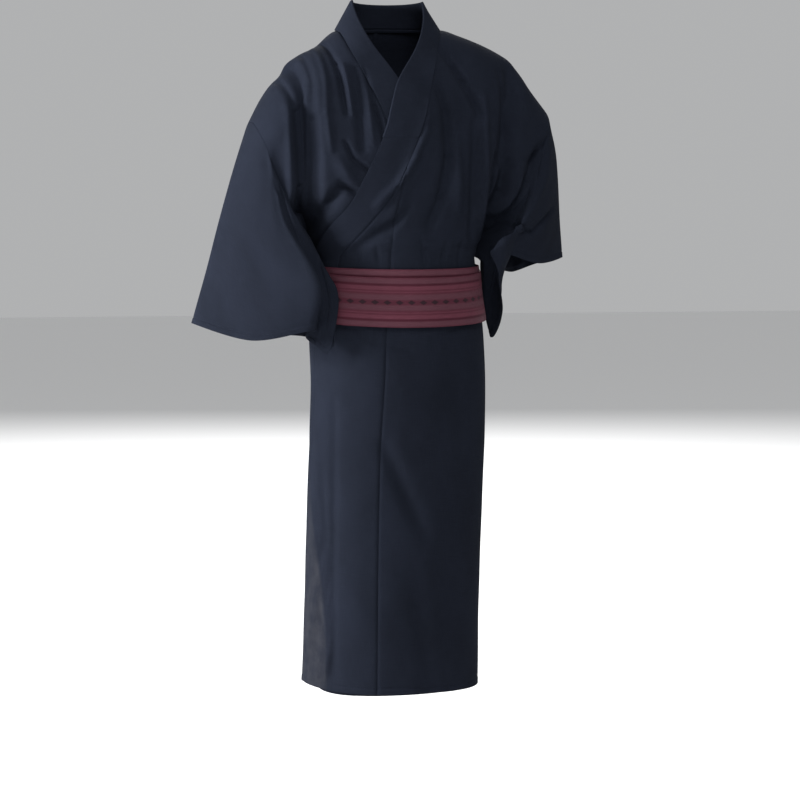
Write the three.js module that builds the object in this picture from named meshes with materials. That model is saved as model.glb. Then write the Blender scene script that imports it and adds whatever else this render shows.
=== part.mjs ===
// A man's yukata, worn left over right on a general figure, with the right arm down and the left hand on the hip.
// A stiff belt is wound twice round the waist and tied flat at the back.
// Millimetres, +Z up. The wearer faces -Y and their left is +X.
// The origin lies between the shoulders, level with the points where the collar seam crosses them.
import * as THREE from "three";

// Cloth
const WALL = 2; // thickness of every cloth wall
const SEAM_GAP = 0.3; // between pieces at a seam
const LAP = 5; // the left front is held out this far where it lies over the right front
const SINK = 9; // and the right front is held in this far under it
const FLARE = 9; // the left front's free edge hangs this much further out at the hem
const COVER_GAP = 0.5; // between the collar and the over-collar on it
const COVER_MARGIN = 1.5; // the over-collar's long edges lie this far inside the collar's

// Cut and levels, as drops below the shoulder line
const UNDERARM = 470; // where the sleeve's sewn edge meets the side seam
const HEM = 1362;
const WAIST = 1.077; // the row where the solids are cut across, under the belt: 1 is the underarm and 2 the hem
const NECK_SHARE = 0.26; // share of the shoulder width taken by half the neck opening
const NAPE_DEPTH = 62; // the back neckline's depth behind the shoulder line
const COLLAR_HALF = 75; // half width of the collar's top edge
const COLLAR_RISE = 53; // height of the collar's top edge at the side of the neck
const COLLAR_NAPE_Y = 58; // the collar's top edge at the nape
const CROSSING_SHIFT = -12; // the place across the chest where the fronts cross
const COLLAR_FRONT_REACH = 110; // how far forward the collar's top edge comes where the fronts cross
const CROSSING = 0.245; // where the fronts cross, as a share of the drop to the underarm
const COLLAR_END = 1.2; // the row where the collar stops
const COVER_END = 0.485; // the row where the over-collar stops
const NAPE_STATION = 0.16; // share of the collar's half length that lies round the back of the neck

// Roundness of the figure
const FRONT_ROUND = 80; // drop over which the front rounds off the shoulder
const BACK_ROUND = 110;
const FRONT_FALL = 0.38; // how much shallower the front is at SIDE_REACH than at the centre
const BACK_FALL = 0.3;
const SIDE_REACH = 300;
const SPREAD = 1.5; // how late the columns close in from the shoulders to the waist
const SQUARENESS = 0.04; // how much fuller than an ellipse a section is at its corners
const RING_BLEND = 0.55; // from here down to the underarm the section closes to the waist ring

// Belt
const BELT_WIDTH = 100;
const BELT_DROP = 533; // middle of the belt, on average round the body
const BELT_TILT = 10; // the belt lies this much lower in front, and higher behind
const BELT_OFFSET = 7.5; // middle of the first turn's wall, outside the body section
const BELT_PITCH = 3; // how far outside the last turn each turn lies
const BELT_SLIP = 17; // the second turn lies this much lower than the first, in front
const BELT_TURNS = 2;

// Knot at the middle of the back: the strips it is made of, each laid on the one before
const KNOT_STRIPS = [
  { name: "knot_end", width: 56, from: 34, reach: -128, rise: 30, up: 4, layers: 1 },
  { name: "knot_loop", width: 88, from: -42, reach: 122, rise: 26, up: 2, layers: 2 },
  { name: "knot_band", width: 52, from: -30, reach: 34, rise: -62, up: 0, layers: 1 },
];
const KNOT_STEPS = 8;
const KNOT_FOLD = 6; // between the layers of a folded strip
const KNOT_GAP = 1; // between a strip and what it lies on
const BELT_HALF = 185; // half width of the belt's ring, to lay the knot round it

const CLOTH_COLOUR = 0x1b1f2a;
const BELT_COLOUR = 0x6b3644;

// Sections of the waist and skirt: half width, depth in front of and behind the middle, and the middle's shift to the side
const RING = [
  { drop: 470, half: 172, front: 130, back: 108, sway: 8 },
  { drop: 540, half: 174, front: 125, back: 108, sway: 12 },
  { drop: 620, half: 180, front: 128, back: 118, sway: 17 },
  { drop: 740, half: 180, front: 131, back: 128, sway: 21 },
  { drop: 900, half: 181, front: 130, back: 122, sway: 17 },
  { drop: 1150, half: 178, front: 134, back: 120, sway: 10 },
  { drop: 1362, half: 179, front: 140, back: 124, sway: 6 },
];

// Depth of the chest and back on the centre line
const TRUNK = [
  { drop: 0, front: 66, back: 76 },
  { drop: 50, front: 92, back: 100 },
  { drop: 100, front: 116, back: 117 },
  { drop: 150, front: 128, back: 126 },
  { drop: 220, front: 135, back: 128 },
  { drop: 320, front: 137, back: 121 },
  { drop: 420, front: 137, back: 112 },
  { drop: 470, front: 130, back: 108 },
];

// The shoulder line from the neck to the armhole seam, over a hanging arm and over an arm held out
const RIGHT_SHOULDER = [
  { across: 0, x: 0, y: 10, drop: 0 },
  { across: 0.26, x: 106, y: 10, drop: 8 },
  { across: 0.4, x: 146, y: 8, drop: 38 },
  { across: 0.54, x: 189, y: 6, drop: 61 },
  { across: 0.64, x: 217, y: 3, drop: 82 },
  { across: 0.84, x: 260, y: 0, drop: 142 },
  { across: 1, x: 289, y: 0, drop: 196 },
];
const LEFT_SHOULDER = [
  { across: 0, x: 0, y: 10, drop: 0 },
  { across: 0.26, x: 110, y: 10, drop: 1 },
  { across: 0.39, x: 150, y: 8, drop: 12 },
  { across: 0.52, x: 200, y: 8, drop: 30 },
  { across: 0.64, x: 243, y: 10, drop: 50 },
  { across: 0.7, x: 264, y: 12, drop: 64 },
  { across: 0.85, x: 301, y: 22, drop: 113 },
  { across: 1, x: 343, y: 32, drop: 160 },
];

// Lines of the fronts, as shares of the half width past the centre line: the collar's seam, the free edge,
// the same two on the right front where it lies under the left, and the overlap panel's seam
const FRONT_LINES = [
  { row: 0, seam: -0.26, edge: -0.17, underSeam: -0.26, underEdge: -0.17, overlap: 0.02 },
  { row: 0.1, seam: -0.195, edge: -0.08, underSeam: -0.25, underEdge: -0.1, overlap: 0.02 },
  { row: 0.245, seam: -0.144, edge: 0.036, underSeam: -0.19, underEdge: -0.03, overlap: 0.02 },
  { row: 0.32, seam: -0.122, edge: 0.07, underSeam: -0.155, underEdge: 0.03, overlap: 0.02 },
  { row: 0.457, seam: -0.072, edge: 0.125, underSeam: -0.088, underEdge: 0.11, overlap: 0.02 },
  { row: 0.61, seam: 0.02, edge: 0.235, underSeam: 0.02, underEdge: 0.235, overlap: 0.02 },
  { row: 0.75, seam: 0.13, edge: 0.4, underSeam: 0.12, underEdge: 0.36, overlap: 0.065 },
  { row: 0.85, seam: 0.27, edge: 0.6, underSeam: 0.22, underEdge: 0.48, overlap: 0.1 },
  { row: 0.93, seam: 0.42, edge: 0.74, underSeam: 0.33, underEdge: 0.58, overlap: 0.128 },
  { row: 1, seam: 0.53, edge: 0.83, underSeam: 0.42, underEdge: 0.66, overlap: 0.145 },
  { row: 1.1, seam: 0.58, edge: 0.88, underSeam: 0.46, underEdge: 0.7, overlap: 0.17 },
  { row: 1.2, seam: 0.6, edge: 0.9, underSeam: 0.48, underEdge: 0.72, overlap: 0.205 },
  { row: 1.4, seam: 0.6, edge: 0.92, underSeam: 0.48, underEdge: 0.74, overlap: 0.242 },
  { row: 2, seam: 0.6, edge: 0.95, underSeam: 0.48, underEdge: 0.74, overlap: 0.24 },
];
// How far the hem lies above its level: the left front, the right front and the back
const HEM_LIFT = [
  { across: -1, leftFront: 28, rightFront: 26, back: 26 },
  { across: -0.7, leftFront: 17, rightFront: 8, back: 12 },
  { across: -0.3, leftFront: 9, rightFront: 4, back: 8 },
  { across: 0.6, leftFront: 8, rightFront: 6, back: 8 },
  { across: 1, leftFront: 13, rightFront: 8, back: 13 },
];
const HEM_LIFT_SHARPNESS = 5; // how near the hem the lift is

const OVERLAP_TOP = 0.61; // the row where the overlap panel starts, in a point under the collar
const OVERLAP_TIP = 0.2; // the point is cut off this far to the next row

// Large folds of each front and of the back: soft troughs, or ridges where the depth is below zero
const RIGHT_FRONT_FOLDS = [
  { name: "armpit", x0: -212, drop0: 85, x1: -194, drop1: 460, width: 17, depth: 38 },
  { name: "shoulder outer", x0: -172, drop0: 40, x1: -150, drop1: 300, width: 13, depth: 8 },
  { name: "shoulder inner", x0: -140, drop0: 10, x1: -112, drop1: 190, width: 10, depth: 9 },
  { name: "chest", x0: -104, drop0: 62, x1: -80, drop1: 235, width: 11, depth: 8 },
  { name: "under the edge", x0: -112, drop0: 300, x1: -182, drop1: 430, width: 19, depth: 18 },
];
const LEFT_FRONT_FOLDS = [
  { name: "armpit", x0: 244, drop0: 95, x1: 196, drop1: 470, width: 19, depth: 34 },
  { name: "shoulder", x0: 98, drop0: 22, x1: 150, drop1: 190, width: 12, depth: 8 },
  { name: "chest long", x0: 92, drop0: 150, x1: 76, drop1: 400, width: 16, depth: 6 },
  { name: "chest outer", x0: 150, drop0: 180, x1: 138, drop1: 440, width: 15, depth: 8 },
  { name: "chest ridge", x0: 48, drop0: 170, x1: -30, drop1: 390, width: 15, depth: -6 },
  { name: "waist slant", x0: 0, drop0: 385, x1: -112, drop1: 458, width: 12, depth: 7 },
  { name: "waist ridge", x0: -120, drop0: 440, x1: 130, drop1: 440, width: 16, depth: -7 },
];
const BACK_FOLDS = [
  { name: "right armpit", x0: -214, drop0: 110, x1: -190, drop1: 470, width: 20, depth: 26 },
  { name: "left armpit", x0: 244, drop0: 110, x1: 196, drop1: 470, width: 20, depth: 26 },
  { name: "right blade", x0: -150, drop0: 60, x1: -128, drop1: 400, width: 15, depth: 7 },
  { name: "left blade", x0: 146, drop0: 50, x1: 120, drop1: 410, width: 15, depth: 7 },
  { name: "right waist ridge", x0: -130, drop0: 438, x1: -25, drop1: 444, width: 15, depth: -8 },
  { name: "left waist ridge", x0: 25, drop0: 445, x1: 130, drop1: 436, width: 15, depth: -8 },
  { name: "seat right", x0: -70, drop0: 640, x1: -85, drop1: 1000, width: 24, depth: 6 },
  { name: "seat left", x0: 84, drop0: 650, x1: 96, drop1: 1080, width: 26, depth: 6 },
];

// Each sleeve at three rings between the armhole and the wrist edge. The stations run from the bottom seam up the front
// layer to the fold along the arm, and down the back layer. From low to join the wrist edge is sewn shut, and there
// the layers lie face to face, apart along "lay".
const RIGHT_SLEEVE = {
  side: -1,
  lay: [-0.45, -0.9, 0],
  rings: [
    {
      along: 0.34,
      bottom: [-146, -96, -510],
      frontLow: [-184, -106, -452],
      frontJoin: [-212, -112, -425],
      frontMid: [-242, -108, -398],
      frontHigh: [-290, -82, -366],
      fold: [-335, 2, -333],
      backHigh: [-304, 62, -368],
      backMid: [-262, 84, -404],
      backJoin: [-224, 66, -432],
      backLow: [-196, 14, -472],
    },
    {
      along: 0.67,
      bottom: [-134, -106, -562],
      frontLow: [-160, -108, -556],
      frontJoin: [-182, -122, -542],
      frontMid: [-190, -156, -516],
      frontHigh: [-304, -92, -498],
      fold: [-371, 6, -468],
      backHigh: [-326, 60, -498],
      backMid: [-262, 66, -524],
      backJoin: [-214, 6, -548],
      backLow: [-192, -44, -572],
    },
    {
      along: 1,
      bottom: [-158, -124, -674],
      frontLow: [-175, -106, -650],
      frontJoin: [-196, -82, -628],
      frontMid: [-196, -142, -613],
      frontHigh: [-312, -100, -634],
      fold: [-409, 8, -602],
      backHigh: [-340, 50, -618],
      backMid: [-258, 30, -626],
      backJoin: [-196, -82, -628],
      backLow: [-175, -106, -650],
    },
  ],
};
const LEFT_SLEEVE = {
  side: 1,
  lay: [-1, -0.1, 0],
  rings: [
    {
      along: 0.34,
      bottom: [206, 12, -540],
      frontLow: [230, -48, -466],
      frontJoin: [254, -100, -408],
      frontMid: [278, -104, -362],
      frontHigh: [336, -62, -304],
      fold: [379, 36, -250],
      backHigh: [338, 84, -312],
      backMid: [290, 88, -372],
      backJoin: [256, 72, -420],
      backLow: [228, 44, -476],
    },
    {
      along: 0.67,
      bottom: [222, 20, -596],
      frontLow: [230, -28, -516],
      frontJoin: [238, -98, -458],
      frontMid: [242, -120, -412],
      frontHigh: [332, -62, -392],
      fold: [389, 38, -348],
      backHigh: [348, 84, -396],
      backMid: [294, 72, -436],
      backJoin: [256, 34, -474],
      backLow: [238, 16, -530],
    },
    {
      along: 1,
      bottom: [238, 22, -652],
      frontLow: [240, -30, -580],
      frontJoin: [206, -108, -500],
      frontMid: [186, -126, -454],
      frontHigh: [308, -58, -482],
      fold: [398, 36, -470],
      backHigh: [350, 66, -484],
      backMid: [286, 26, -500],
      backJoin: [206, -108, -500],
      backLow: [240, -30, -580],
    },
  ],
};
const SLEEVE_STATIONS = [
  { name: "bottom", round: 0 },
  { name: "frontLow", round: 0.13 },
  { name: "frontJoin", round: 0.25 },
  { name: "frontMid", round: 0.33 },
  { name: "frontHigh", round: 0.42 },
  { name: "fold", round: 0.5 },
  { name: "backHigh", round: 0.58 },
  { name: "backMid", round: 0.67 },
  { name: "backJoin", round: 0.75 },
  { name: "backLow", round: 0.87 },
  { name: "bottom", round: 1 },
];
const SLEEVE_LEAVE = 18; // the sleeve's lower part first leaves the body this far, square to it
const SLEEVE_TURN = 0.06; // and turns after this share of the way
const BODY_CLEARANCE = 27; // a sleeve hangs at least this far outside the body's section at the belt
const SLEEVE_CORNER = 0.09; // the wrist's bottom corner is rounded over this share of the way round
const SLEEVE_CORNER_CUT = 0.1; // and this share of the way along

// Mesh fineness
const UPPER_ROWS = 14; // shoulder to underarm
const SKIRT_ROWS = 13; // underarm to hem
const FRONT_COLUMNS = 14;
const NECK_COLUMNS = 3;
const OVERLAP_COLUMNS = 4;
const COLLAR_COLUMNS = 3;
const NAPE_STEPS = 8;
const SLEEVE_ROWS = 12;
const BELT_STEPS = 40; // to a turn
const ROW_SNAP = 0.038; // a row this close to a fixed one is moved onto it
const NUDGE = 0.004; // step used to find a surface's direction

const RIGHT = -1;
const LEFT = 1;
const FRONT = -1;
const BACK = 1;
const QUARTER_TURN = Math.PI / 2;

const lerp = (a, b, t) => a + (b - a) * t;
const clamp = (value, low, high) => Math.min(high, Math.max(low, value));
const ease = (t) => {
  const s = clamp(t, 0, 1);
  return s * s * (3 - 2 * s);
};
const steps = (count) => Array.from({ length: count + 1 }, (_, i) => i / count);

// A smooth curve through one column of a table, read at a value of another column
function read(table, by, value, name) {
  const last = table.length - 1;
  const at = clamp(value, table[0][by], table[last][by]);
  let i = 0;
  while (i < last - 1 && at > table[i + 1][by]) i += 1;
  const slope = (k) => {
    const before = table[Math.max(k - 1, 0)];
    const after = table[Math.min(k + 1, last)];
    return (after[name] - before[name]) / (after[by] - before[by]);
  };
  const span = table[i + 1][by] - table[i][by];
  const t = (at - table[i][by]) / span;
  const rest = 1 - t;
  const ends = table[i][name] * (1 + 2 * t) * rest * rest + table[i + 1][name] * (3 - 2 * t) * t * t;
  return ends + span * t * rest * (slope(i) * rest - slope(i + 1) * t);
}

// How deep the folds are at a place on the front or the back
function foldDepth(folds, x, drop) {
  let depth = 0;
  for (const fold of folds) {
    const dx = fold.x1 - fold.x0;
    const dd = fold.drop1 - fold.drop0;
    const share = ((x - fold.x0) * dx + (drop - fold.drop0) * dd) / (dx * dx + dd * dd);
    const on = clamp(share, 0, 1);
    const away = Math.hypot(x - fold.x0 - on * dx, drop - fold.drop0 - on * dd);
    const swell = 0.35 + 0.65 * Math.sin(Math.PI * clamp(0.12 + 0.76 * on, 0, 1));
    depth += fold.depth * swell * Math.exp(-((away / fold.width) ** 2));
  }
  return depth;
}

// A point of the body's waist or skirt section, at an angle from the middle of the front
function ringPoint(drop, angle, offset = 0) {
  const cosine = Math.cos(angle);
  const fuller = 1 + SQUARENESS * Math.sin(2 * angle) ** 2;
  const depth = read(RING, "drop", drop, cosine > 0 ? "front" : "back");
  const x = read(RING, "drop", drop, "sway") + (read(RING, "drop", drop, "half") + offset) * Math.sin(angle) * fuller;
  return new THREE.Vector3(x, -(depth + offset) * cosine * fuller, -drop);
}

// A point of the body's cloth before its folds. Across runs from the centre line, 0, to the left or right seam, 1 or -1.
// Row runs down the front from 0 to -2, or down the back from 0 to 2; 1 is the underarm and 2 the hem.
function plainBody(across, row) {
  const front = row < 0;
  const down = Math.abs(row);
  const share = Math.abs(across);
  const angle = front ? across * QUARTER_TURN : Math.PI - across * QUARTER_TURN;
  if (down >= 1) return ringPoint(lerp(UNDERARM, HEM, down - 1), angle);
  const shoulder = across < 0 ? RIGHT_SHOULDER : LEFT_SHOULDER;
  const top = read(shoulder, "across", share, "drop");
  const topX = Math.sign(across) * read(shoulder, "across", share, "x");
  const neck = clamp(share / NECK_SHARE, 0, 1);
  const topY = read(shoulder, "across", share, "y") + (front ? 0 : NAPE_DEPTH * Math.sqrt(1 - neck * neck));
  const drop = lerp(top, UNDERARM, down);
  const waist = ringPoint(UNDERARM, angle);
  const x = lerp(topX, waist.x, down ** SPREAD);
  const side = (x / SIDE_REACH) ** 2;
  const depth = front
    ? -read(TRUNK, "drop", drop, "front") * (1 - FRONT_FALL * side)
    : read(TRUNK, "drop", drop, "back") * (1 - BACK_FALL * side);
  const rounding = clamp((drop - top) / (front ? FRONT_ROUND : BACK_ROUND), 0, 1);
  const y = lerp(topY, depth, Math.sqrt(1 - (1 - rounding) ** 2));
  return new THREE.Vector3(x, lerp(y, waist.y, ease((down - RING_BLEND) / (1 - RING_BLEND))), -drop);
}

// The outward direction of a surface at a place, from its neighbours
function directionOf(surface, u, v, nudge = NUDGE) {
  const du = surface(u + nudge, v).sub(surface(u - nudge, v));
  const dv = surface(u, v + nudge).sub(surface(u, v - nudge));
  return du.cross(dv).normalize();
}

function plainDirection(across, row) {
  return directionOf(plainBody, across, row);
}

function hemLift(side, across, row) {
  if (row > 0) return read(HEM_LIFT, "across", across, "back");
  return read(HEM_LIFT, "across", across, side === LEFT ? "leftFront" : "rightFront");
}

// The cloth of one side, front or back, with its folds. The fronts are held apart where they lap.
function body(side, across, row) {
  const point = plainBody(across, row);
  const down = Math.abs(row);
  let folds = BACK_FOLDS;
  let offset = 0;
  let covered = 0;
  if (row < 0 && side === LEFT) {
    folds = LEFT_FRONT_FOLDS;
    offset = LAP * ease((read(FRONT_LINES, "row", down, "underEdge") + 0.16 - across) / 0.13);
    offset += FLARE * ease(down - 1) * ease((-across - 0.55) / 0.35);
  } else if (row < 0) {
    folds = RIGHT_FRONT_FOLDS;
    covered = ease((across + read(FRONT_LINES, "row", down, "edge")) / 0.12);
    offset = -SINK * covered;
  }
  const depth = foldDepth(folds, point.x, -point.z) * (1 - covered);
  point.addScaledVector(plainDirection(across, row), offset - depth);
  if (down > 1) point.z += hemLift(side, across, row) * (down - 1) ** HEM_LIFT_SHARPNESS;
  return point;
}

// A line of a front, as a place across it
function frontLine(side, row, name) {
  const column = side === RIGHT && name === "seam" ? "underSeam" : name;
  const own = side === RIGHT && name === "edge" ? "underEdge" : column;
  return -side * read(FRONT_LINES, "row", row, own);
}

// A place on a panel: its point and the way its wall faces
function place(surface, u, v, nudge) {
  return { point: surface(u, v), out: directionOf(surface, u, v, nudge) };
}

// A patch of cloth: a grid of places, each with the way its wall faces
function patch(rows, columns, placeAt) {
  return rows.map((row, i) => columns.map((column, j) => placeAt(row, column, i, j)));
}

// A closed wall round one or more patches that share the places along their common edge
function wall(patches, thickness = WALL) {
  const places = [];
  const known = new Map();
  const index = ({ point, out }) => {
    const key = point.toArray().map((value) => Math.round(value * 100)).join();
    if (!known.has(key)) {
      known.set(key, places.length);
      places.push({ point, out: out.clone() });
    } else {
      places[known.get(key)].out.add(out);
    }
    return known.get(key);
  };
  const quads = [];
  for (const grid of patches) {
    const ids = grid.map((line) => line.map(index));
    for (let i = 0; i + 1 < ids.length; i += 1) {
      for (let j = 0; j + 1 < ids[i].length; j += 1) {
        quads.push([ids[i][j], ids[i + 1][j], ids[i + 1][j + 1], ids[i][j + 1]]);
      }
    }
  }
  const half = thickness / 2;
  const positions = [];
  for (const sign of [1, -1]) {
    for (const { point, out } of places) {
      positions.push(...point.clone().addScaledVector(out.clone().normalize(), sign * half).toArray());
    }
  }
  const inner = places.length;
  const faces = [];
  const rims = new Map();
  const triangle = (a, b, c) => {
    if (a === b || b === c || a === c) return;
    faces.push(a, b, c, inner + c, inner + b, inner + a);
    for (const [from, to] of [[a, b], [b, c], [c, a]]) {
      if (!rims.delete(`${to},${from}`)) rims.set(`${from},${to}`, [from, to]);
    }
  };
  const length = (i, j) => places[i].point.distanceTo(places[j].point);
  for (const [a, b, c, d] of quads) {
    if (length(a, c) <= length(b, d)) {
      triangle(a, b, c);
      triangle(a, c, d);
    } else {
      triangle(b, c, d);
      triangle(b, d, a);
    }
  }
  for (const [from, to] of rims.values()) {
    faces.push(to, from, inner + from, to, inner + from, inner + to);
  }
  const geometry = new THREE.BufferGeometry();
  geometry.setAttribute("position", new THREE.Float32BufferAttribute(positions, 3));
  geometry.setIndex(facingOut(positions, faces));
  geometry.computeVertexNormals();
  return geometry;
}

// The faces, turned round if they enclose a volume below zero
function facingOut(positions, faces) {
  const corner = (i) => new THREE.Vector3().fromArray(positions, 3 * i);
  let volume = 0;
  for (let i = 0; i < faces.length; i += 3) {
    volume += corner(faces[i]).dot(corner(faces[i + 1]).cross(corner(faces[i + 2])));
  }
  if (volume < 0) faces.reverse();
  return faces;
}

// Rows that lie closer together near the shoulder line, where the cloth bends most, with the given rows among them
function rowsThrough(rows, fixed) {
  return rows.map((row) => fixed.find((value) => Math.abs(value - row) < ROW_SNAP) ?? row);
}
const upperRows = rowsThrough(steps(UPPER_ROWS).map((t) => t ** 1.35), [CROSSING, COVER_END, OVERLAP_TOP]);
const skirtRows = rowsThrough(steps(SKIRT_ROWS).slice(1).map((t) => 1 + t), [WAIST, COLLAR_END]);
const allRows = [...upperRows, ...skirtRows];
const SEAM_ROW = SEAM_GAP / 2 / (HEM - UNDERARM); // half a seam's gap, as a share of a row

// Moves a place along its panel by a distance, towards a place further in
function pulled(from, towards, distance) {
  const way = towards.point.clone().sub(from.point).normalize();
  return { point: from.point.clone().addScaledVector(way, distance), out: from.out };
}

function blended(from, to, share) {
  return { point: from.point.clone().lerp(to.point, share), out: from.out.clone().lerp(to.out, share).normalize() };
}

// A patch with its first or last column drawn back from a seam
function trimmed(grid, edges) {
  const last = grid[0].length - 1;
  return grid.map((line) =>
    line.map((spot, j) => {
      if (j === 0 && edges.first) return pulled(spot, line[1], edges.first);
      if (j === last && edges.last) return pulled(spot, line[last - 1], edges.last);
      return spot;
    }),
  );
}

// A side's front or back cloth over some rows
function bodyPatch(side, rows, facing) {
  const surface = (across, row) => body(side, across, row);
  return patch(rows, steps(FRONT_COLUMNS), (row, column) => {
    const start = facing === FRONT ? frontLine(side, row, row < OVERLAP_TOP ? "seam" : "overlap") : side * NECK_SHARE;
    return place(surface, lerp(start, side, column), facing * row);
  });
}

// The back's cloth between the centre seam and the column that the neck opening ends at
function middlePatch(side, rows) {
  const surface = (across, row) => body(side, across, row);
  return patch(rows, steps(NECK_COLUMNS), (row, t) => place(surface, side * NECK_SHARE * t, row));
}

// A side's back, in one patch from the centre seam to the side seam
function backPatch(side, rows) {
  const wide = bodyPatch(side, rows, BACK);
  return middlePatch(side, rows).map((line, i) => [...line.slice(0, -1), ...wide[i]]);
}

// A side's cloth above the waist: from the back over the shoulder to the front
function upperPanel(side) {
  const rows = [...allRows.filter((row) => row < WAIST), WAIST - SEAM_ROW];
  const both = { first: SEAM_GAP / 2, last: SEAM_GAP / 2 };
  const front = bodyPatch(side, rows, FRONT);
  const back = trimmed(backPatch(side, [...rows].reverse()), both);
  // The two patches share the shoulder line
  front[0].forEach((spot, j) => {
    back[back.length - 1][NECK_COLUMNS + j] = spot;
  });
  return wall([back, [front[0], ...trimmed(front, { last: SEAM_GAP / 2 }).slice(1)]]);
}

// A side's cloth below the waist, front or back
function skirtPanel(side, facing) {
  const rows = [WAIST + SEAM_ROW, ...allRows.filter((row) => row > WAIST)];
  if (facing === FRONT) return wall([trimmed(bodyPatch(side, rows, FRONT), { last: SEAM_GAP / 2 })]);
  return wall([trimmed(backPatch(side, rows), { first: SEAM_GAP / 2, last: SEAM_GAP / 2 })]);
}

// The half-width panel that widens a front, from a point under the collar to the hem.
// It meets the collar's seam as far down as the collar goes, and ends in the free edge below that.
function overlapPanel(side) {
  const surface = (across, row) => body(side, across, row);
  const inner = steps(OVERLAP_COLUMNS);
  const upper = patch(allRows.filter((row) => row >= OVERLAP_TOP && row <= COLLAR_END), inner, (row, column) =>
    place(surface, lerp(frontLine(side, row, "overlap"), frontLine(side, row, "seam"), column), -row),
  );
  upper[0] = upper[0].map((spot, j) => blended(spot, upper[1][j], OVERLAP_TIP));
  const beyond = steps(COLLAR_COLUMNS).slice(1).map((t) => 1 + t);
  const lower = patch(allRows.filter((row) => row >= COLLAR_END), [...inner, ...beyond], (row, column) => {
    const seam = frontLine(side, row, "seam");
    const inside = lerp(frontLine(side, row, "overlap"), seam, column);
    return place(surface, column <= 1 ? inside : lerp(seam, frontLine(side, row, "edge"), column - 1), -row);
  });
  const edges = { first: SEAM_GAP };
  return wall([trimmed(upper, edges), trimmed(lower, edges)]);
}

// The collar's two long lines by a station that runs from one end, -1, round the nape, 0, to the other end, 1
function collarPoint(station, band) {
  const side = station < 0 ? RIGHT : LEFT;
  const way = Math.abs(station);
  if (way <= NAPE_STATION) {
    const angle = (way / NAPE_STATION) * QUARTER_TURN;
    const seam = body(side, side * NECK_SHARE * Math.sin(angle), 0.0001);
    const edge = new THREE.Vector3(
      side * COLLAR_HALF * Math.sin(angle),
      lerp(COLLAR_NAPE_Y, -2, 1 - Math.cos(angle)),
      COLLAR_RISE - 4 * Math.cos(angle),
    );
    return seam.lerp(edge, band);
  }
  const row = ((way - NAPE_STATION) / (1 - NAPE_STATION)) * COLLAR_END;
  const seam = body(side, frontLine(side, row, "seam"), -row);
  const turn = clamp(row / CROSSING, 0, 1) * QUARTER_TURN;
  const edge = new THREE.Vector3(
    side * COLLAR_HALF * Math.cos(turn) + CROSSING_SHIFT * Math.sin(turn),
    -2 - COLLAR_FRONT_REACH * Math.sin(turn),
    lerp(COLLAR_RISE, -UNDERARM * CROSSING, clamp(row / CROSSING, 0, 1)),
  );
  const across = lerp(frontLine(side, row, "seam"), frontLine(side, row, "edge"), band);
  const onChest = body(side, across, -row);
  return seam.lerp(edge, band).lerp(onChest, ease((row / CROSSING - 0.55) / 0.45));
}
// Stations of the collar down to a row, on both sides of the nape
function collarStations(lowest) {
  const stationOf = (row) => NAPE_STATION + (row / COLLAR_END) * (1 - NAPE_STATION);
  const down = allRows.filter((row) => row > 0 && row <= lowest).map(stationOf);
  const round = steps(NAPE_STEPS).map((t) => (2 * t - 1) * NAPE_STATION);
  return [...down.map((station) => -station).reverse(), ...round, ...down];
}

function collarGrid(lowest) {
  const surface = (band, station) => collarPoint(station, band);
  return patch(collarStations(lowest), steps(COLLAR_COLUMNS), (station, band) => place(surface, band, station));
}

// The band stands up at the neck, so there its wall is drawn back further from the seam
function collar() {
  const grid = collarGrid(COLLAR_END);
  const last = grid.length - 1;
  const half = last / 2;
  const lines = grid.map((line, i) => {
    const standing = 1 - ease((Math.abs(i - half) / half - 0.35) / 0.3);
    return [pulled(line[0], line[1], SEAM_GAP + 0.85 * WALL * standing), ...line.slice(1)];
  });
  lines[0] = lines[0].map((spot, j) => pulled(spot, lines[1][j], SEAM_GAP));
  lines[last] = lines[last].map((spot, j) => pulled(spot, lines[last - 1][j], SEAM_GAP));
  return wall([lines]);
}

// The over-collar, a second layer made from the collar's points moved out
function collarCover() {
  const grid = collarGrid(COVER_END);
  const raised = patchMoved(grid, WALL + COVER_GAP);
  return wall([trimmed(raised, { first: COVER_MARGIN, last: COVER_MARGIN })]);
}

function patchMoved(grid, distance) {
  return grid.map((line) =>
    line.map(({ point, out }) => ({ point: point.clone().addScaledVector(out, distance), out })),
  );
}

// The sleeve's outline where it is sewn to the body: up the front of the armhole, over the shoulder line, down the back
function armhole(side, round) {
  const row = round < 0.5 ? -(1 - 2 * round) : 2 * round - 1;
  return body(side, side, row === 0 ? -NUDGE / 10 : row);
}

// A sleeve ring's point at a share of the way round
function onRing(ring, round) {
  const table = SLEEVE_STATIONS.map(({ name, round: at }) => {
    const [x, y, z] = ring[name];
    return { at, x, y, z };
  });
  return new THREE.Vector3(...["x", "y", "z"].map((axis) => read(table, "at", round, axis)));
}

// How far apart the two layers are held where they are sewn together, at the bottom and the lower part of the wrist
function sewnShare(round, along) {
  const low = Math.min(round, 1 - round);
  return Math.max(ease((0.27 - low) / 0.04) * ease((along - 0.72) / 0.2), ease((0.07 - low) / 0.05));
}

// A point moved out of the body's section, if it lies in it
function clearOfBody(point) {
  const drop = -point.z;
  const clearance = BODY_CLEARANCE * ease((drop - UNDERARM + 12) / 22);
  const middle = read(RING, "drop", drop, "sway");
  const half = read(RING, "drop", drop, "half") + clearance;
  const depth = read(RING, "drop", drop, point.y < 0 ? "front" : "back") + clearance;
  const reach = Math.hypot((point.x - middle) / half, point.y / depth);
  if (drop < UNDERARM - 12 || reach >= 1) return point;
  return new THREE.Vector3(middle + (point.x - middle) / reach, point.y / reach, point.z);
}

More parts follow.
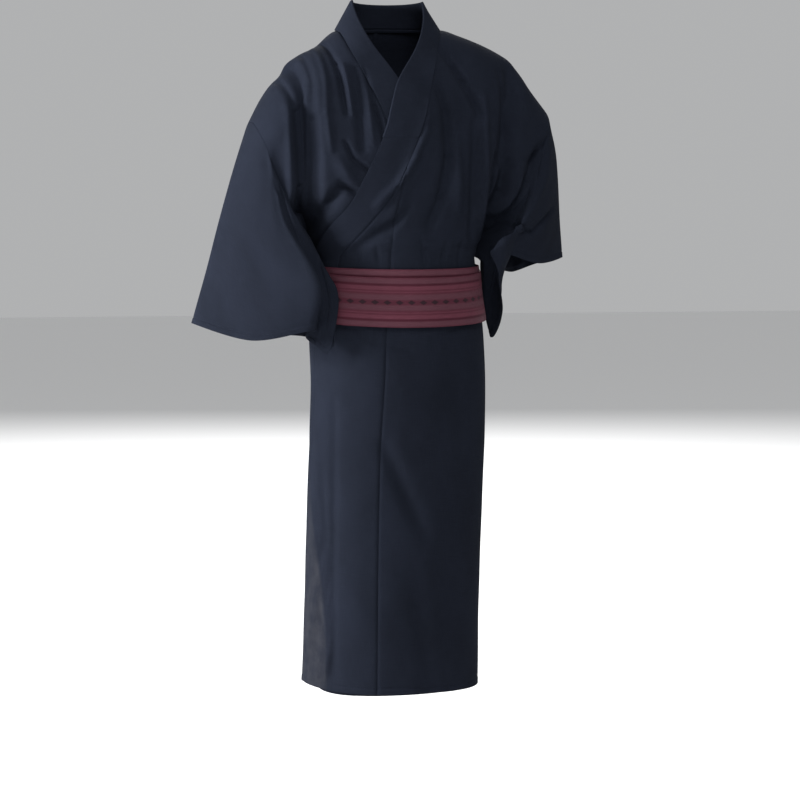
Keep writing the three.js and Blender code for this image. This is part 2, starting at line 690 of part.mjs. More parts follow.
function sleevePoint(sleeve, round, along) {
  const low = Math.min(round, 1 - round) / SLEEVE_CORNER;
  const cut = low < 1 ? SLEEVE_CORNER_CUT * (1 - Math.sqrt(clamp(1 - (1 - low) ** 2, 0, 1))) : 0;
  const t = along * (1 - cut);
  const start = armhole(sleeve.side, round);
  const course = [{ along: 0, ...start }, ...sleeve.rings.map((ring) => ({ along: ring.along, ...onRing(ring, round) }))];
  const point = new THREE.Vector3(...["x", "y", "z"].map((axis) => read(course, "along", t, axis)));
  const leave = (t / SLEEVE_TURN) * Math.exp(1 - t / SLEEVE_TURN);
  point.x += sleeve.side * SLEEVE_LEAVE * leave * ease(1 - Math.min(round, 1 - round) / 0.3);
  const apart = (WALL + SEAM_GAP) / 2;
  const front = round < 0.5 ? 1 : -1;
  const lay = new THREE.Vector3(...sleeve.lay).normalize();
  return clearOfBody(point).addScaledVector(lay, front * apart * sewnShare(round, t));
}

// How far a wall is drawn back from its neighbour's at a seam, so that their thicknesses don't meet
function seamPull(out, neighbour) {
  const turn = Math.acos(clamp(out.dot(neighbour), -0.8, 1));
  return 3 * SEAM_GAP + WALL * Math.tan(turn / 2);
}

// One length of cloth folded at the top and sewn at the bottom
function sleevePanel(sleeve) {
  const surface = (round, along) => sleevePoint(sleeve, round, along);
  const front = upperRows.map((row) => (1 - row) / 2).reverse();
  const rounds = [...front, ...upperRows.slice(1).map((row) => (1 + row) / 2)];
  const grid = patch(steps(SLEEVE_ROWS), rounds, (along, round) => {
    const inside = clamp(round, NUDGE, 1 - NUDGE);
    return { point: surface(round, along), out: directionOf(surface, inside, clamp(along, NUDGE, 1 - NUDGE)) };
  });
  const side = sleeve.side;
  const edgeRow = (round) => clamp(2 * round - 1, NUDGE - 1, 1 - NUDGE);
  grid[0] = grid[0].map((spot, j) => {
    const bodyOut = directionOf((across, row) => body(side, across, row), side, edgeRow(rounds[j]));
    return pulled(spot, grid[1][j], seamPull(spot.out, bodyOut));
  });
  return wall([grid]);
}

// The belt, a spiral of two turns that starts and ends at the middle of the back
function beltPoint(turn, up) {
  const angle = (turn - 0.5) * 2 * Math.PI;
  const slip = BELT_SLIP * clamp(turn, 0, 1) * (1 + Math.cos(angle)) * 0.5;
  const drop = BELT_DROP + BELT_TILT * Math.cos(angle) + (turn > 1 ? slip : 0) - up;
  return ringPoint(drop, angle, BELT_OFFSET + BELT_PITCH * turn);
}

function belt() {
  const surface = (turn, up) => beltPoint(turn, up);
  const ups = [-0.5, 0, 0.5].map((t) => t * BELT_WIDTH);
  const grid = patch(steps(BELT_STEPS * BELT_TURNS), ups, (t, up) => {
    const turn = t * BELT_TURNS;
    return { point: surface(turn, up), out: directionOf((a, b) => surface(a, b * BELT_WIDTH), turn, up / BELT_WIDTH) };
  });
  return wall([grid]);
}

// A strip of the knot, laid over the belt's back. One of two layers is folded back on itself at its far end.
function knotStrip(strip, lowest) {
  const slope = Math.atan2(strip.rise, strip.reach - strip.from);
  const run = Math.hypot(strip.rise, strip.reach - strip.from);
  const surface = (v, u) => {
    const back = u > 1;
    const along = back ? 2 - u : u;
    const x = strip.from + along * run * Math.cos(slope) - v * strip.width * Math.sin(slope);
    const up = strip.up - strip.rise / 2 + along * run * Math.sin(slope) + v * strip.width * Math.cos(slope);
    const angle = Math.PI - Math.asin(x / BELT_HALF);
    const rise = strip.layers > 1 ? KNOT_FOLD * ease((u - 0.97) / 0.06) : 0;
    return ringPoint(BELT_DROP - BELT_TILT - up, angle, lowest + rise);
  };
  const alongs = steps(KNOT_STEPS * strip.layers).map((t) => t * strip.layers);
  if (strip.layers > 1) alongs.splice(KNOT_STEPS, 1, 0.975, 1, 1.025);
  const grid = patch(alongs, [-0.5, 0, 0.5], (u, v) => place(surface, v, u));
  return wall([grid]);
}

const yukata = new THREE.Group();
const cloth = () => new THREE.MeshStandardMaterial({ color: CLOTH_COLOUR, roughness: 0.9, metalness: 0 });
const woven = () => new THREE.MeshStandardMaterial({ color: BELT_COLOUR, roughness: 0.7, metalness: 0 });

function add(name, geometry, material) {
  const mesh = new THREE.Mesh(geometry, material);
  mesh.name = name;
  yukata.add(mesh);
}

add("body_right", upperPanel(RIGHT), cloth());
add("body_left", upperPanel(LEFT), cloth());
add("skirt_front_right", skirtPanel(RIGHT, FRONT), cloth());
add("skirt_front_left", skirtPanel(LEFT, FRONT), cloth());
add("skirt_back_right", skirtPanel(RIGHT, BACK), cloth());
add("skirt_back_left", skirtPanel(LEFT, BACK), cloth());
add("overlap_right", overlapPanel(RIGHT), cloth());
add("overlap_left", overlapPanel(LEFT), cloth());
add("collar", collar(), cloth());
add("collar_cover", collarCover(), cloth());
add("sleeve_right", sleevePanel(RIGHT_SLEEVE), cloth());
add("sleeve_left", sleevePanel(LEFT_SLEEVE), cloth());
add("belt", belt(), woven());
let onTop = BELT_OFFSET + BELT_PITCH * BELT_TURNS + WALL + KNOT_GAP;
for (const strip of KNOT_STRIPS) {
  add(strip.name, knotStrip(strip, onTop), woven());
  onTop += WALL + KNOT_GAP + (strip.layers - 1) * KNOT_FOLD;
}

export default yukata;
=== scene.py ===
"""Looks of a worn yukata: fine cloth shells on the form of the solids, with folds, seams, hems and weaves.

Lengths are millimetres, +Z up. The wearer faces -Y and their left is +X. Meshes are written in metres.
"""

import math

import bpy
import numpy as np
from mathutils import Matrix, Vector

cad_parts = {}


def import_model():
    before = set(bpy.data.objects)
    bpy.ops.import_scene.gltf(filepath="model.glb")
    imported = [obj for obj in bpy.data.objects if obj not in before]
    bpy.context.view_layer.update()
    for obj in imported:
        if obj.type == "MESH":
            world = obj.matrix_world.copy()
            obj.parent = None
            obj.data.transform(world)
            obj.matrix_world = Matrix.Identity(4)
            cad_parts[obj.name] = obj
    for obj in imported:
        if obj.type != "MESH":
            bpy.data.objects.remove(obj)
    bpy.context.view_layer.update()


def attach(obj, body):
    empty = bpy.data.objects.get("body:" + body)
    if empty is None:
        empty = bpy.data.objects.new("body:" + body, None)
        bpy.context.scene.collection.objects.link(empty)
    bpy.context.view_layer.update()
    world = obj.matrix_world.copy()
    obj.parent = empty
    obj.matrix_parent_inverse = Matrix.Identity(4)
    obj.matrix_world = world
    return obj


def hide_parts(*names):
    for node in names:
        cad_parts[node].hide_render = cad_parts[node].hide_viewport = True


RIGHT = -1
LEFT = 1
FORWARD = np.array([0, -1, 0])

# Cloth and how its layers lie
LAP = 5  # the left front is held out this far where it lies over the right front
SINK = 9  # and the right front is held in this far under it
FLARE = 9  # the left front's free edge hangs this much further out at the hem
LAP_BLEND = 0.13
SINK_BLEND = 0.12
COTTON = 0.9  # thickness of the cotton
COVER = 1.0  # thickness of the over-collar
FOLDED = 2.2  # thickness of the collar, folded cloth round a core
WEBBING = 1.8  # thickness of the belt
COVER_LIFT = 2.1  # the over-collar's middle lies this far outside the collar's

# Cut. Drops are below the shoulder line. Row 0 is the shoulder, row 1 the underarm and row 2 the hem.
UNDERARM = 470
HEM = 1362
NECK_SHARE = 0.26
NAPE_DEPTH = 62
COLLAR_HALF = 75  # half width of the collar's top edge
COLLAR_RISE = 53
COLLAR_NAPE_Y = 58
COLLAR_SIDE_Y = -2
COLLAR_NAPE_DIP = 4
COLLAR_FRONT_REACH = 110
COLLAR_CROWN = 0.8
CROSSING_SHIFT = -12  # the fronts cross this far to the wearer's left of the centre line
CROSSING = 0.245
COLLAR_END = 1.2
COVER_END = 0.485
NAPE_STATION = 0.16  # share of the collar's half length that goes round the nape
OVERLAP_TOP = 0.61

# Roundness of the figure
FRONT_ROUND = 80
BACK_ROUND = 110
FRONT_FALL = 0.38  # how much shallower the front is at SIDE_REACH than at the centre
BACK_FALL = 0.3
SIDE_REACH = 300
SPREAD = 1.5  # how late the columns close in from the shoulders to the waist
SQUARENESS = 0.04  # how much fuller than an ellipse a section is at its corners
RING_BLEND = 0.55

# Belt
BELT_WIDTH = 100
BELT_DROP = 533
BELT_TILT = 10  # the belt lies this much lower in front, and higher behind
BELT_OFFSET = 7.5  # middle of the first turn, outside the body section
BELT_PITCH = 3
BELT_SLIP = 17  # the second turn lies this much lower
BELT_TURNS = 2
BELT_HALF = 185  # half width of the belt's ring
BELT_WAVE = 0.35
KNOT_FOLD = 6  # between the layers of a folded strip
KNOT_GAP = 1
KNOT_LAYER = 2  # room for one layer of the knot
KNOT_STEPS = 40
KNOT_COLUMNS = 18

# Sleeves
SLEEVE_CORNER = 0.09  # the wrist's lower corner is rounded over this share of the way round
SLEEVE_CORNER_CUT = 0.1
SLEEVE_LEAVE = 18  # a sleeve's lower part first leaves the body this far
SLEEVE_TURN = 0.06
SLEEVE_START = 0.4  # the sleeve starts this far from the armhole's edge
BODY_CLEARANCE = 27  # a sleeve hangs at least this far outside the body's section
LAYER_HALF = 1.15  # half the distance between layers sewn face to face

# Sewing
HEM_DEPTH = 12  # width of the turned-up hems
HEM_RISE = 0.5  # how much thicker a hem is
HEM_GROOVE = 0.7
HEM_GROOVE_WIDTH = 1.2
SEAM_REACH = 3.0  # how far from a seam the cloth rolls in
ALLOWANCE = 0.016  # a seam allowance reaches this share of the half width under the next piece
ALLOWANCE_DEPTH = 1.7
ARMHOLE_ALLOWANCE = 0.8
COLLAR_ALLOWANCE = 0.07  # share of the collar's width
COLLAR_ALLOWANCE_DEPTH = 2.1
CENTRE_SEAM = 0.8  # depth of the grooves along the seams
SIDE_SEAM = 0.3
OVERLAP_SEAM = 1.1
LOW_OVERLAP_SEAM = 1.6
COLLAR_SEAM = 0.9
EDGE_SEAM = 0.5
STRIP_SEAM = 0.4
DRAWN = 0.15  # the cloth ends this far from a seam
COLLAR_DRAWN = 0.6
BODY_RIPPLES = 0.9
SLEEVE_RIPPLES = 0.8

# Camera and room
AZIMUTH = -17
ELEVATION = 3.5
DISTANCE = 5500
PIXEL = 2.05  # millimetres to one pixel of the frame at the origin's distance
FRAME_PIXELS = 800
ORIGIN_PIXEL = (387, 28)
SENSOR = 36  # width of the camera's sensor
FLOOR_DROP = 1500
WORLD_COLOUR = (0.95, 0.96, 0.97, 1)
WORLD_STRENGTH = 0.46
FLOOR_COLOUR = (0.9, 0.9, 0.9, 1)


def rows(names, *lines):
    """A table with named columns, as one dict to a line."""
    return [dict(zip(names.split(), line)) for line in lines]


LIGHTS = rows(
    "name azimuth elevation distance size power height",
    ("key", -86, 10, 3.6, 1.1, 420, -0.7),
    ("fill", -6, 46, 2.8, 1.1, 66, -0.3),
    ("back", 165, 32, 9.0, 3.0, 560, -0.7),
)

# Sections of the waist and skirt
RING = rows(
    "drop half front back sway",
    (470, 172, 130, 108, 8),
    (540, 174, 125, 108, 12),
    (620, 180, 128, 118, 17),
    (740, 180, 131, 128, 21),
    (900, 181, 130, 122, 17),
    (1150, 178, 134, 120, 10),
    (1362, 179, 140, 124, 6),
)

# Depth of the chest and back on the centre line
TRUNK = rows(
    "drop front back",
    (0, 66, 76),
    (50, 92, 100),
    (100, 116, 117),
    (150, 128, 126),
    (220, 135, 128),
    (320, 137, 121),
    (420, 137, 112),
    (470, 130, 108),
)

# The shoulder line from the neck to the armhole seam
RIGHT_SHOULDER = rows(
    "across x y drop",
    (0, 0, 10, 0),
    (0.26, 106, 10, 8),
    (0.4, 146, 8, 38),
    (0.54, 189, 6, 61),
    (0.64, 217, 3, 82),
    (0.84, 260, 0, 142),
    (1, 289, 0, 196),
)
LEFT_SHOULDER = rows(
    "across x y drop",
    (0, 0, 10, 0),
    (0.26, 110, 10, 1),
    (0.39, 150, 8, 12),
    (0.52, 200, 8, 30),
    (0.64, 243, 10, 50),
    (0.7, 264, 12, 64),
    (0.85, 301, 22, 113),
    (1, 343, 32, 160),
)

# Lines of the fronts, as shares of the half width past the centre line
FRONT_LINES = rows(
    "row seam edge under_seam under_edge overlap",
    (0, -0.26, -0.17, -0.26, -0.17, 0.02),
    (0.1, -0.195, -0.08, -0.25, -0.1, 0.02),
    (0.245, -0.144, 0.036, -0.19, -0.03, 0.02),
    (0.32, -0.122, 0.07, -0.155, 0.03, 0.02),
    (0.457, -0.072, 0.125, -0.088, 0.11, 0.02),
    (0.61, 0.02, 0.235, 0.02, 0.235, 0.02),
    (0.75, 0.13, 0.4, 0.12, 0.36, 0.065),
    (0.85, 0.27, 0.6, 0.22, 0.48, 0.1),
    (0.93, 0.42, 0.74, 0.33, 0.58, 0.128),
    (1, 0.53, 0.83, 0.42, 0.66, 0.145),
    (1.1, 0.58, 0.88, 0.46, 0.7, 0.17),
    (1.2, 0.6, 0.9, 0.48, 0.72, 0.205),
    (1.4, 0.6, 0.92, 0.48, 0.74, 0.242),
    (2, 0.6, 0.95, 0.48, 0.74, 0.24),
)

# How far the hem lies above its level
HEM_LIFT = rows(
    "across left_front right_front back",
    (-1, 28, 26, 26),
    (-0.7, 17, 8, 12),
    (-0.3, 9, 4, 8),
    (0.6, 8, 6, 8),
    (1, 13, 8, 13),
)
HEM_LIFT_SHARPNESS = 5

# Folds: soft troughs, or ridges where the depth is below zero. The solids have the large ones too.
FOLD = "x0 drop0 x1 drop1 width depth"
RIGHT_FRONT_FOLDS = rows(
    FOLD,
    (-212, 85, -194, 460, 17, 30),
    (-262, 250, -226, 400, 24, 13),
    (-242, 100, -224, 175, 6, 6),
    (-224, 175, -214, 330, 5, 11),
    (-214, 330, -196, 455, 6, 11),
    (-234, 170, -232, 380, 8, -6),
    (-201, 121, -200, 383, 5, -6),
    (-186, 60, -186, 190, 7, 7),
    (-184, 190, -176, 380, 9, 11),
    (-160, 50, -161, 177, 6, -4),
    (-161, 177, -153, 255, 6, -5),
    (-143, 22, -135, 77, 5, 6),
    (-135, 77, -121, 180, 6, 9),
    (-122, 85, -110, 180, 5, -5),
    (-101, 90, -90, 250, 9, 9),
    (-78, 132, -69, 240, 5, -4),
    (-80, 90, -65, 166, 4, 4),
    (-65, 166, -44, 236, 5, 7),
    (-138, 275, -112, 315, 13, -7),
    (-124, 238, -109, 272, 5, 7),
    (-109, 272, -72, 300, 6, 7),
    (-130, 324, -98, 340, 8, 13),
    (-134, 334, -174, 388, 11, 17),
    (-176, 396, -182, 420, 11, 12),
)
LEFT_FRONT_FOLDS = rows(
    FOLD,
    (244, 95, 196, 470, 19, 30),
    (84, 40, 110, 83, 7, 8),
    (110, 83, 130, 117, 8, 11),
    (130, 117, 164, 180, 9, 11),
    (72, 128, 87, 178, 10, 9),
    (87, 178, 89, 267, 11, 14),
    (89, 267, 75, 345, 11, 14),
    (75, 345, 48, 404, 11, 12),
    (48, 150, 43, 212, 6, -2.5),
    (43, 212, 17, 267, 7, -6),
    (17, 267, -15, 317, 8, -8),
    (-15, 317, -59, 362, 8, -7),
    (108, 240, 112, 370, 11, -8),
    (172, 145, 176, 430, 9, -11),
    (150, 190, 146, 425, 10, 9),
    (213, 90, 232, 217, 8, 8),
    (204, 262, 196, 367, 7, 12),
    (196, 367, 188, 450, 7, 12),
    (238, 276, 222, 345, 8, 15),
    (222, 345, 206, 380, 6, 9),
    (219, 286, 199, 365, 5, -7),
    (260, 280, 250, 345, 7, -7),
    (250, 345, 222, 390, 6, -7),
    (222, 390, 198, 428, 5, -6),
    (336, 224, 284, 273, 12, 14),
    (304, 252, 270, 317, 9, 13),
    (270, 317, 238, 378, 8, 13),
    (238, 378, 196, 424, 6, 11),
    (318, 300, 262, 392, 12, -8),
    (345, 372, 284, 417, 7, 8),
    (284, 417, 232, 406, 7, 8),
    (40, 190, -30, 390, 14, -4),
    (5, 367, -36, 417, 8, 5),
    (-21, 396, -100, 452, 10, 8),
    (-120, 440, 130, 440, 15, -7),
    (-60, 448, -54, 480, 4, 3),
    (-96, 452, -86, 480, 4, 3),
    (30, 436, 40, 480, 5, 3),
    (84, 440, 78, 480, 6, 4),
    (104, 446, 150, 450, 8, 5),
    (122, 436, 116, 480, 5, 3),
    (-123, 600, -60, 640, 8, 3.5),
    (-60, 640, 10, 652, 8, 3),
    (134, 600, 60, 642, 9, 3),
    (-44, 850, 40, 1036, 16, 6),
    (100, 640, 128, 940, 18, 3),
    (-132, 760, -140, 1330, 7, 4),
    (-150, 900, -146, 1060, 4, 2.4),
    (-160, 1230, -166, 1340, 5, 2.6),
    (-140, 1260, -152, 1336, 4, -2.4),
    (-154, 820, -160, 1010, 5, -2),
    (-148, 1040, -158, 1120, 4, 2.6),
    (-143, 1120, -149, 1180, 3, 1.8),
    (-158, 1180, -150, 1250, 3, 1.8),
    (-150, 1120, -162, 1290, 5, 2.4),
    (-138, 1180, -146, 1320, 5, -2),
    (20, 1120, 48, 1350, 22, 3),
)
BACK_FOLDS = rows(
    FOLD,
    (-214, 110, -190, 470, 20, 26),
    (244, 110, 196, 470, 20, 26),
    (-150, 60, -128, 400, 15, 7),
    (146, 50, 120, 410, 15, 7),
    (-130, 438, -25, 444, 15, -8),
    (25, 445, 130, 436, 15, -8),
    (-70, 640, -85, 1000, 24, 6),
    (84, 650, 96, 1080, 26, 6),
    (-94, 90, -84, 300, 10, 3),
    (96, 80, 90, 310, 10, 3),
    (-60, 180, -34, 420, 12, 3.5),
    (52, 170, 30, 410, 12, -3),
    (-118, 390, -112, 476, 6, 3),
    (-74, 400, -70, 478, 5, 3),
    (64, 396, 62, 478, 5, 3),
    (104, 398, 100, 478, 6, 3),
    (-30, 420, -28, 480, 5, 2.5),
    (20, 424, 20, 480, 5, 2.5),
    (-120, 612, -40, 660, 9, 3),
    (120, 612, 40, 660, 9, 3),
    (-20, 700, -40, 1300, 26, 3),
    (140, 900, 150, 1340, 20, 3),
    (-140, 860, -150, 1330, 20, 3),
)

# Folds of the sleeves: round from 0 at the bottom seam over the front, along from 0 at the armhole to 1
SLEEVE_GIRTH = 900
SLEEVE_LENGTH = 430


def sleeve_folds(*lines):
    """Folds with their ends in shares of the girth and the length, as folds in millimetres."""
    size = np.array([SLEEVE_GIRTH, SLEEVE_LENGTH, SLEEVE_GIRTH, SLEEVE_LENGTH, 1, 1])
    return rows(FOLD, *[np.array(line) * size for line in lines])


RIGHT_SLEEVE_FOLDS = sleeve_folds(
    (0.4, 0.0, 0.41, 0.9, 26, 3),
    (0.34, 0.2, 0.34, 1.0, 14, -3),
    (0.3, 0.1, 0.31, 0.9, 9, 3),
    (0.1, 0.35, 0.09, 0.95, 10, -3),
    (0.6, 0.05, 0.62, 0.95, 16, 4),
    (0.68, 0.1, 0.66, 0.9, 14, -3),
    (0.76, 0.05, 0.74, 0.9, 14, 5),
)
LEFT_SLEEVE_FOLDS = sleeve_folds(
    (0.2, 0.2, 0.17, 0.5, 12, 3),
    (0.12, 0.3, 0.08, 0.55, 12, -2.5),
    (0.58, 0.05, 0.64, 0.95, 16, 5),
    (0.7, 0.0, 0.72, 0.9, 14, -4),
    (0.8, 0.05, 0.8, 0.9, 12, 5),
)

# The sleeves' rings between the armhole and the wrist edge
FRONT_STATIONS = {"bottom": 0, "front_low": 0.13, "front_join": 0.25, "front_mid": 0.33, "front_high": 0.42}
BACK_STATIONS = {"fold": 0.5, "back_high": 0.58, "back_mid": 0.67, "back_join": 0.75, "back_low": 0.87}
STATIONS = {**FRONT_STATIONS, **BACK_STATIONS}
RING_NAMES = "along " + " ".join(STATIONS)
RIGHT_SLEEVE_RINGS = rows(
    RING_NAMES,
    (
        0.34,
        (-146, -96, -510), (-184, -106, -452), (-212, -112, -425), (-242, -108, -398), (-290, -82, -366),
        (-335, 2, -333), (-304, 62, -368), (-262, 84, -404), (-224, 66, -432), (-196, 14, -472),
    ),
    (
        0.67,
        (-134, -106, -562), (-160, -108, -556), (-182, -122, -542), (-190, -156, -516), (-304, -92, -498),
        (-371, 6, -468), (-326, 60, -498), (-262, 66, -524), (-214, 6, -548), (-192, -44, -572),
    ),
    (
        1,
        (-158, -124, -674), (-175, -106, -650), (-196, -82, -628), (-196, -142, -613), (-312, -100, -634),
        (-409, 8, -602), (-340, 50, -618), (-258, 30, -626), (-196, -82, -628), (-175, -106, -650),
    ),
)
LEFT_SLEEVE_RINGS = rows(
    RING_NAMES,
    (
        0.34,
        (206, 12, -540), (230, -48, -466), (254, -100, -408), (278, -104, -362), (336, -62, -304),
        (379, 36, -250), (338, 84, -312), (290, 88, -372), (256, 72, -420), (228, 44, -476),
    ),
    (
        0.67,
        (222, 20, -596), (230, -28, -516), (238, -98, -458), (242, -120, -412), (332, -62, -392),
        (389, 38, -348), (348, 84, -396), (294, 72, -436), (256, 34, -474), (238, 16, -530),
    ),
    (
        1,
        (238, 22, -652), (240, -30, -580), (206, -108, -500), (186, -126, -454), (308, -58, -482),
        (398, 36, -470), (350, 66, -484), (286, 26, -500), (206, -108, -500), (240, -30, -580),
    ),
)
SLEEVES = {
    RIGHT: {"rings": RIGHT_SLEEVE_RINGS, "folds": RIGHT_SLEEVE_FOLDS, "lay": (-0.45, -0.9, 0)},
    LEFT: {"rings": LEFT_SLEEVE_RINGS, "folds": LEFT_SLEEVE_FOLDS, "lay": (-1, -0.1, 0)},
}

# Strips of the knot, each laid on the one before
KNOT_STRIPS = rows(
    "name width start reach rise up layers",
    ("knot_end", 56, 34, -128, 30, 4, 1),
    ("knot_loop", 88, -42, 122, 26, 2, 2),
    ("knot_band", 52, -30, 34, -62, 0, 1),
)

# Fineness of the shells
NUDGE = 0.004  # step used to find a surface's direction
TINY = 1e-6  # smallest row, which tells the front from the back
KEYS_PER_MM = 50  # fineness to which points are merged
SHARP_ANGLE = 55
UPPER_ROWS = 108
SKIRT_ROWS = 84
FRONT_COLUMNS = 95
NECK_COLUMNS = 14
OVERLAP_COLUMNS = 26
EDGE_COLUMNS = 40
COLLAR_COLUMNS = 12
COVER_INNER_COLUMNS = 8
COVER_STEPS = 8
NAPE_STEPS = 46
SLEEVE_ALONG = 100
SLEEVE_ROUND = 240
BELT_STEPS = 220
BELT_ROWS = 24


def lerp(a, b, t):
    return a + (b - a) * t


def ease(t):
    s = np.clip(t, 0, 1)
    return s * s * (3 - 2 * s)


def stack(x, y, z):
    return np.stack(np.broadcast_arrays(x, y, z), axis=-1).astype(float)


def unit(vectors):
    return vectors / np.maximum(np.linalg.norm(vectors, axis=-1, keepdims=True), 1e-9)


def curve(xs, ys, value):
    """A smooth curve through points, read at a value, as in the solids. ys may hold one array to a point."""
    xs = np.asarray(xs, float)
    ys = [np.asarray(y, float) for y in ys]
    last = len(xs) - 1
    at = np.clip(value, xs[0], xs[-1])
    i = np.clip(np.searchsorted(xs, at) - 1, 0, last - 1)
    slopes = []
    for k in range(last + 1):
        a, b = max(k - 1, 0), min(k + 1, last)
        slopes.append((ys[b] - ys[a]) / (xs[b] - xs[a]))
    span = xs[i + 1] - xs[i]
    t = (at - xs[i]) / span
    rest = 1 - t
    low, high = picked(ys, i), picked(ys, i + 1)
    slope_low, slope_high = picked(slopes, i), picked(slopes, i + 1)
    ends = low * (1 + 2 * t) * rest * rest + high * (3 - 2 * t) * t * t
    return ends + span * t * rest * (slope_low * rest - slope_high * t)


def picked(values, k):
    """The value of index k at each place, from a list of numbers or of arrays of the same shape."""
    if np.ndim(values[0]) == 0:
        return np.choose(k, values)
    table = np.stack(np.broadcast_arrays(*values))
    index = np.broadcast_to(k, table.shape[1:])
    return np.take_along_axis(table, index[None], axis=0)[0]


def read(table, value, name):
    """A column of a table at a value of its first column."""
    by = next(iter(table[0]))
    return curve([row[by] for row in table], [row[name] for row in table], value)


def fold_depth(folds, x, drop, fading=True):
    """How deep the folds are at a place. Most of them fade towards their ends."""
    depth = np.zeros(np.shape(x))
    for fold in folds:
        dx = fold["x1"] - fold["x0"]
        dd = fold["drop1"] - fold["drop0"]
        share = ((x - fold["x0"]) * dx + (drop - fold["drop0"]) * dd) / (dx * dx + dd * dd)
        on = np.clip(share, 0, 1)
        away = np.hypot(x - fold["x0"] - on * dx, drop - fold["drop0"] - on * dd)
        swell = 0.35 + 0.65 * np.sin(math.pi * (0.12 + 0.76 * on)) if fading else 1
        depth = depth + fold["depth"] * swell * np.exp(-((away / fold["width"]) ** 2))
    return depth


def ripples(a, b, size):
    """Small soft unevenness of cloth that has been worn: a few crossing waves, in millimetres."""
    slow = np.sin(a / 31 + 1.3 * np.sin(b / 117)) * np.sin(b / 83 + 0.8)
    quick = np.sin(a / 13 + b / 57 + 2.1) * np.sin(b / 41 - a / 71)
    return size * (0.6 * slow + 0.4 * quick)


def ring_point(drop, angle, offset=0.0):
    """A point of the body's waist or skirt section, at an angle from the middle of the front."""
    cosine = np.cos(angle)
    fuller = 1 + SQUARENESS * np.sin(2 * angle) ** 2
    front = read(RING, drop, "front")
    back = read(RING, drop, "back")
    depth = np.where(cosine > 0, front, back)
    half = read(RING, drop, "half") + offset
    x = read(RING, drop, "sway") + half * np.sin(angle) * fuller
    return stack(x, -(depth + offset) * cosine * fuller, -drop)


def plain_body(across, row):
    """A point of the body's cloth before its folds, as in the solids."""
    across, row = np.broadcast_arrays(np.asarray(across, float), np.asarray(row, float))
    front = row < 0
    down = np.abs(row)
    share = np.abs(across)
    quarter = across * math.pi / 2
    angle = np.where(front, quarter, math.pi - quarter)
    low = ring_point(lerp(UNDERARM, HEM, np.maximum(down - 1, 0)), angle)
    side = {}
    for name in ("x", "y", "drop"):
        right = read(RIGHT_SHOULDER, share, name)
        left = read(LEFT_SHOULDER, share, name)
        side[name] = np.where(across < 0, right, left)
    top = side["drop"]
    neck = np.clip(share / NECK_SHARE, 0, 1)
    top_y = side["y"] + np.where(front, 0, NAPE_DEPTH * np.sqrt(1 - neck * neck))
    upper = np.minimum(down, 1)
    drop = lerp(top, UNDERARM, upper)
    waist = ring_point(UNDERARM, angle)
    x = lerp(np.sign(across) * side["x"], waist[..., 0], upper**SPREAD)
    aside = (x / SIDE_REACH) ** 2
    front_depth = -read(TRUNK, drop, "front") * (1 - FRONT_FALL * aside)
    back_depth = read(TRUNK, drop, "back") * (1 - BACK_FALL * aside)
    depth = np.where(front, front_depth, back_depth)
    rounding = np.clip((drop - top) / np.where(front, FRONT_ROUND, BACK_ROUND), 0, 1)
    y = lerp(top_y, depth, np.sqrt(1 - (1 - rounding) ** 2))
    y = lerp(y, waist[..., 1], ease((upper - RING_BLEND) / (1 - RING_BLEND)))
    high = stack(x, y, -drop)
    return np.where((down >= 1)[..., None], low, high)


def direction_of(surface, u, v, nudge=NUDGE):
    """The outward direction of a surface at a place, from its neighbours."""
    du = surface(u + nudge, v) - surface(u - nudge, v)
    dv = surface(u, v + nudge) - surface(u, v - nudge)
    return unit(np.cross(du, dv))


def body(side, across, row, front):
    """The cloth of one side with its folds. The fronts are held apart where they lap."""
    across, row = np.broadcast_arrays(np.asarray(across, float), np.asarray(row, float))
    point = plain_body(across, row)
    down = np.abs(row)
    folds = BACK_FOLDS
    offset = 0.0
    covered = 0.0
    if front and side == LEFT:
        folds = LEFT_FRONT_FOLDS
        offset = LAP * ease((read(FRONT_LINES, down, "under_edge") + 0.16 - across) / LAP_BLEND)
        offset = offset + FLARE * ease(down - 1) * ease((-across - 0.55) / 0.35)
    elif front:
        folds = RIGHT_FRONT_FOLDS
        covered = ease((across + read(FRONT_LINES, down, "edge")) / SINK_BLEND)
        offset = -SINK * covered
    depth = fold_depth(folds, point[..., 0], -point[..., 2]) * (1 - covered)
    depth = depth - ripples(point[..., 0], point[..., 2], BODY_RIPPLES) * ease(down / 0.2)
    point = point + direction_of(plain_body, across, row) * (offset - depth)[..., None]
    column = ("left_front" if side == LEFT else "right_front") if front else "back"
    point[..., 2] += read(HEM_LIFT, across, column) * np.maximum(down - 1, 0) ** HEM_LIFT_SHARPNESS
    return point


def front_at(side, across, row):
    return body(side, across, -np.maximum(row, TINY), True)


def back_at(side, across, row):
    return body(side, across, np.maximum(row, TINY), False)


def front_line(side, row, name):
    """A line of a front, as a place across it."""
    if side == RIGHT and name in ("seam", "edge"):
        name = "under_" + name
    return -side * read(FRONT_LINES, row, name)


def edged(count, margin=0.012):
    """Shares from 0 to 1 that lie closer together at both ends."""
    inner = np.linspace(0, 1, count + 1)[1:-1]
    close = np.array([0, margin * 0.3, margin * 0.65, margin])
    clear = margin * 1.5
    return np.concatenate([close, inner[(inner > clear) & (inner < 1 - clear)], 1 - close[::-1]])


def hem_shares(length):
    """Lines close round a hem's upper edge and its fold, as shares of the cloth's length."""
    return 1 - np.array([*range(HEM_DEPTH + 2, HEM_DEPTH - 3, -1), 6, 2, 1, 0]) / length


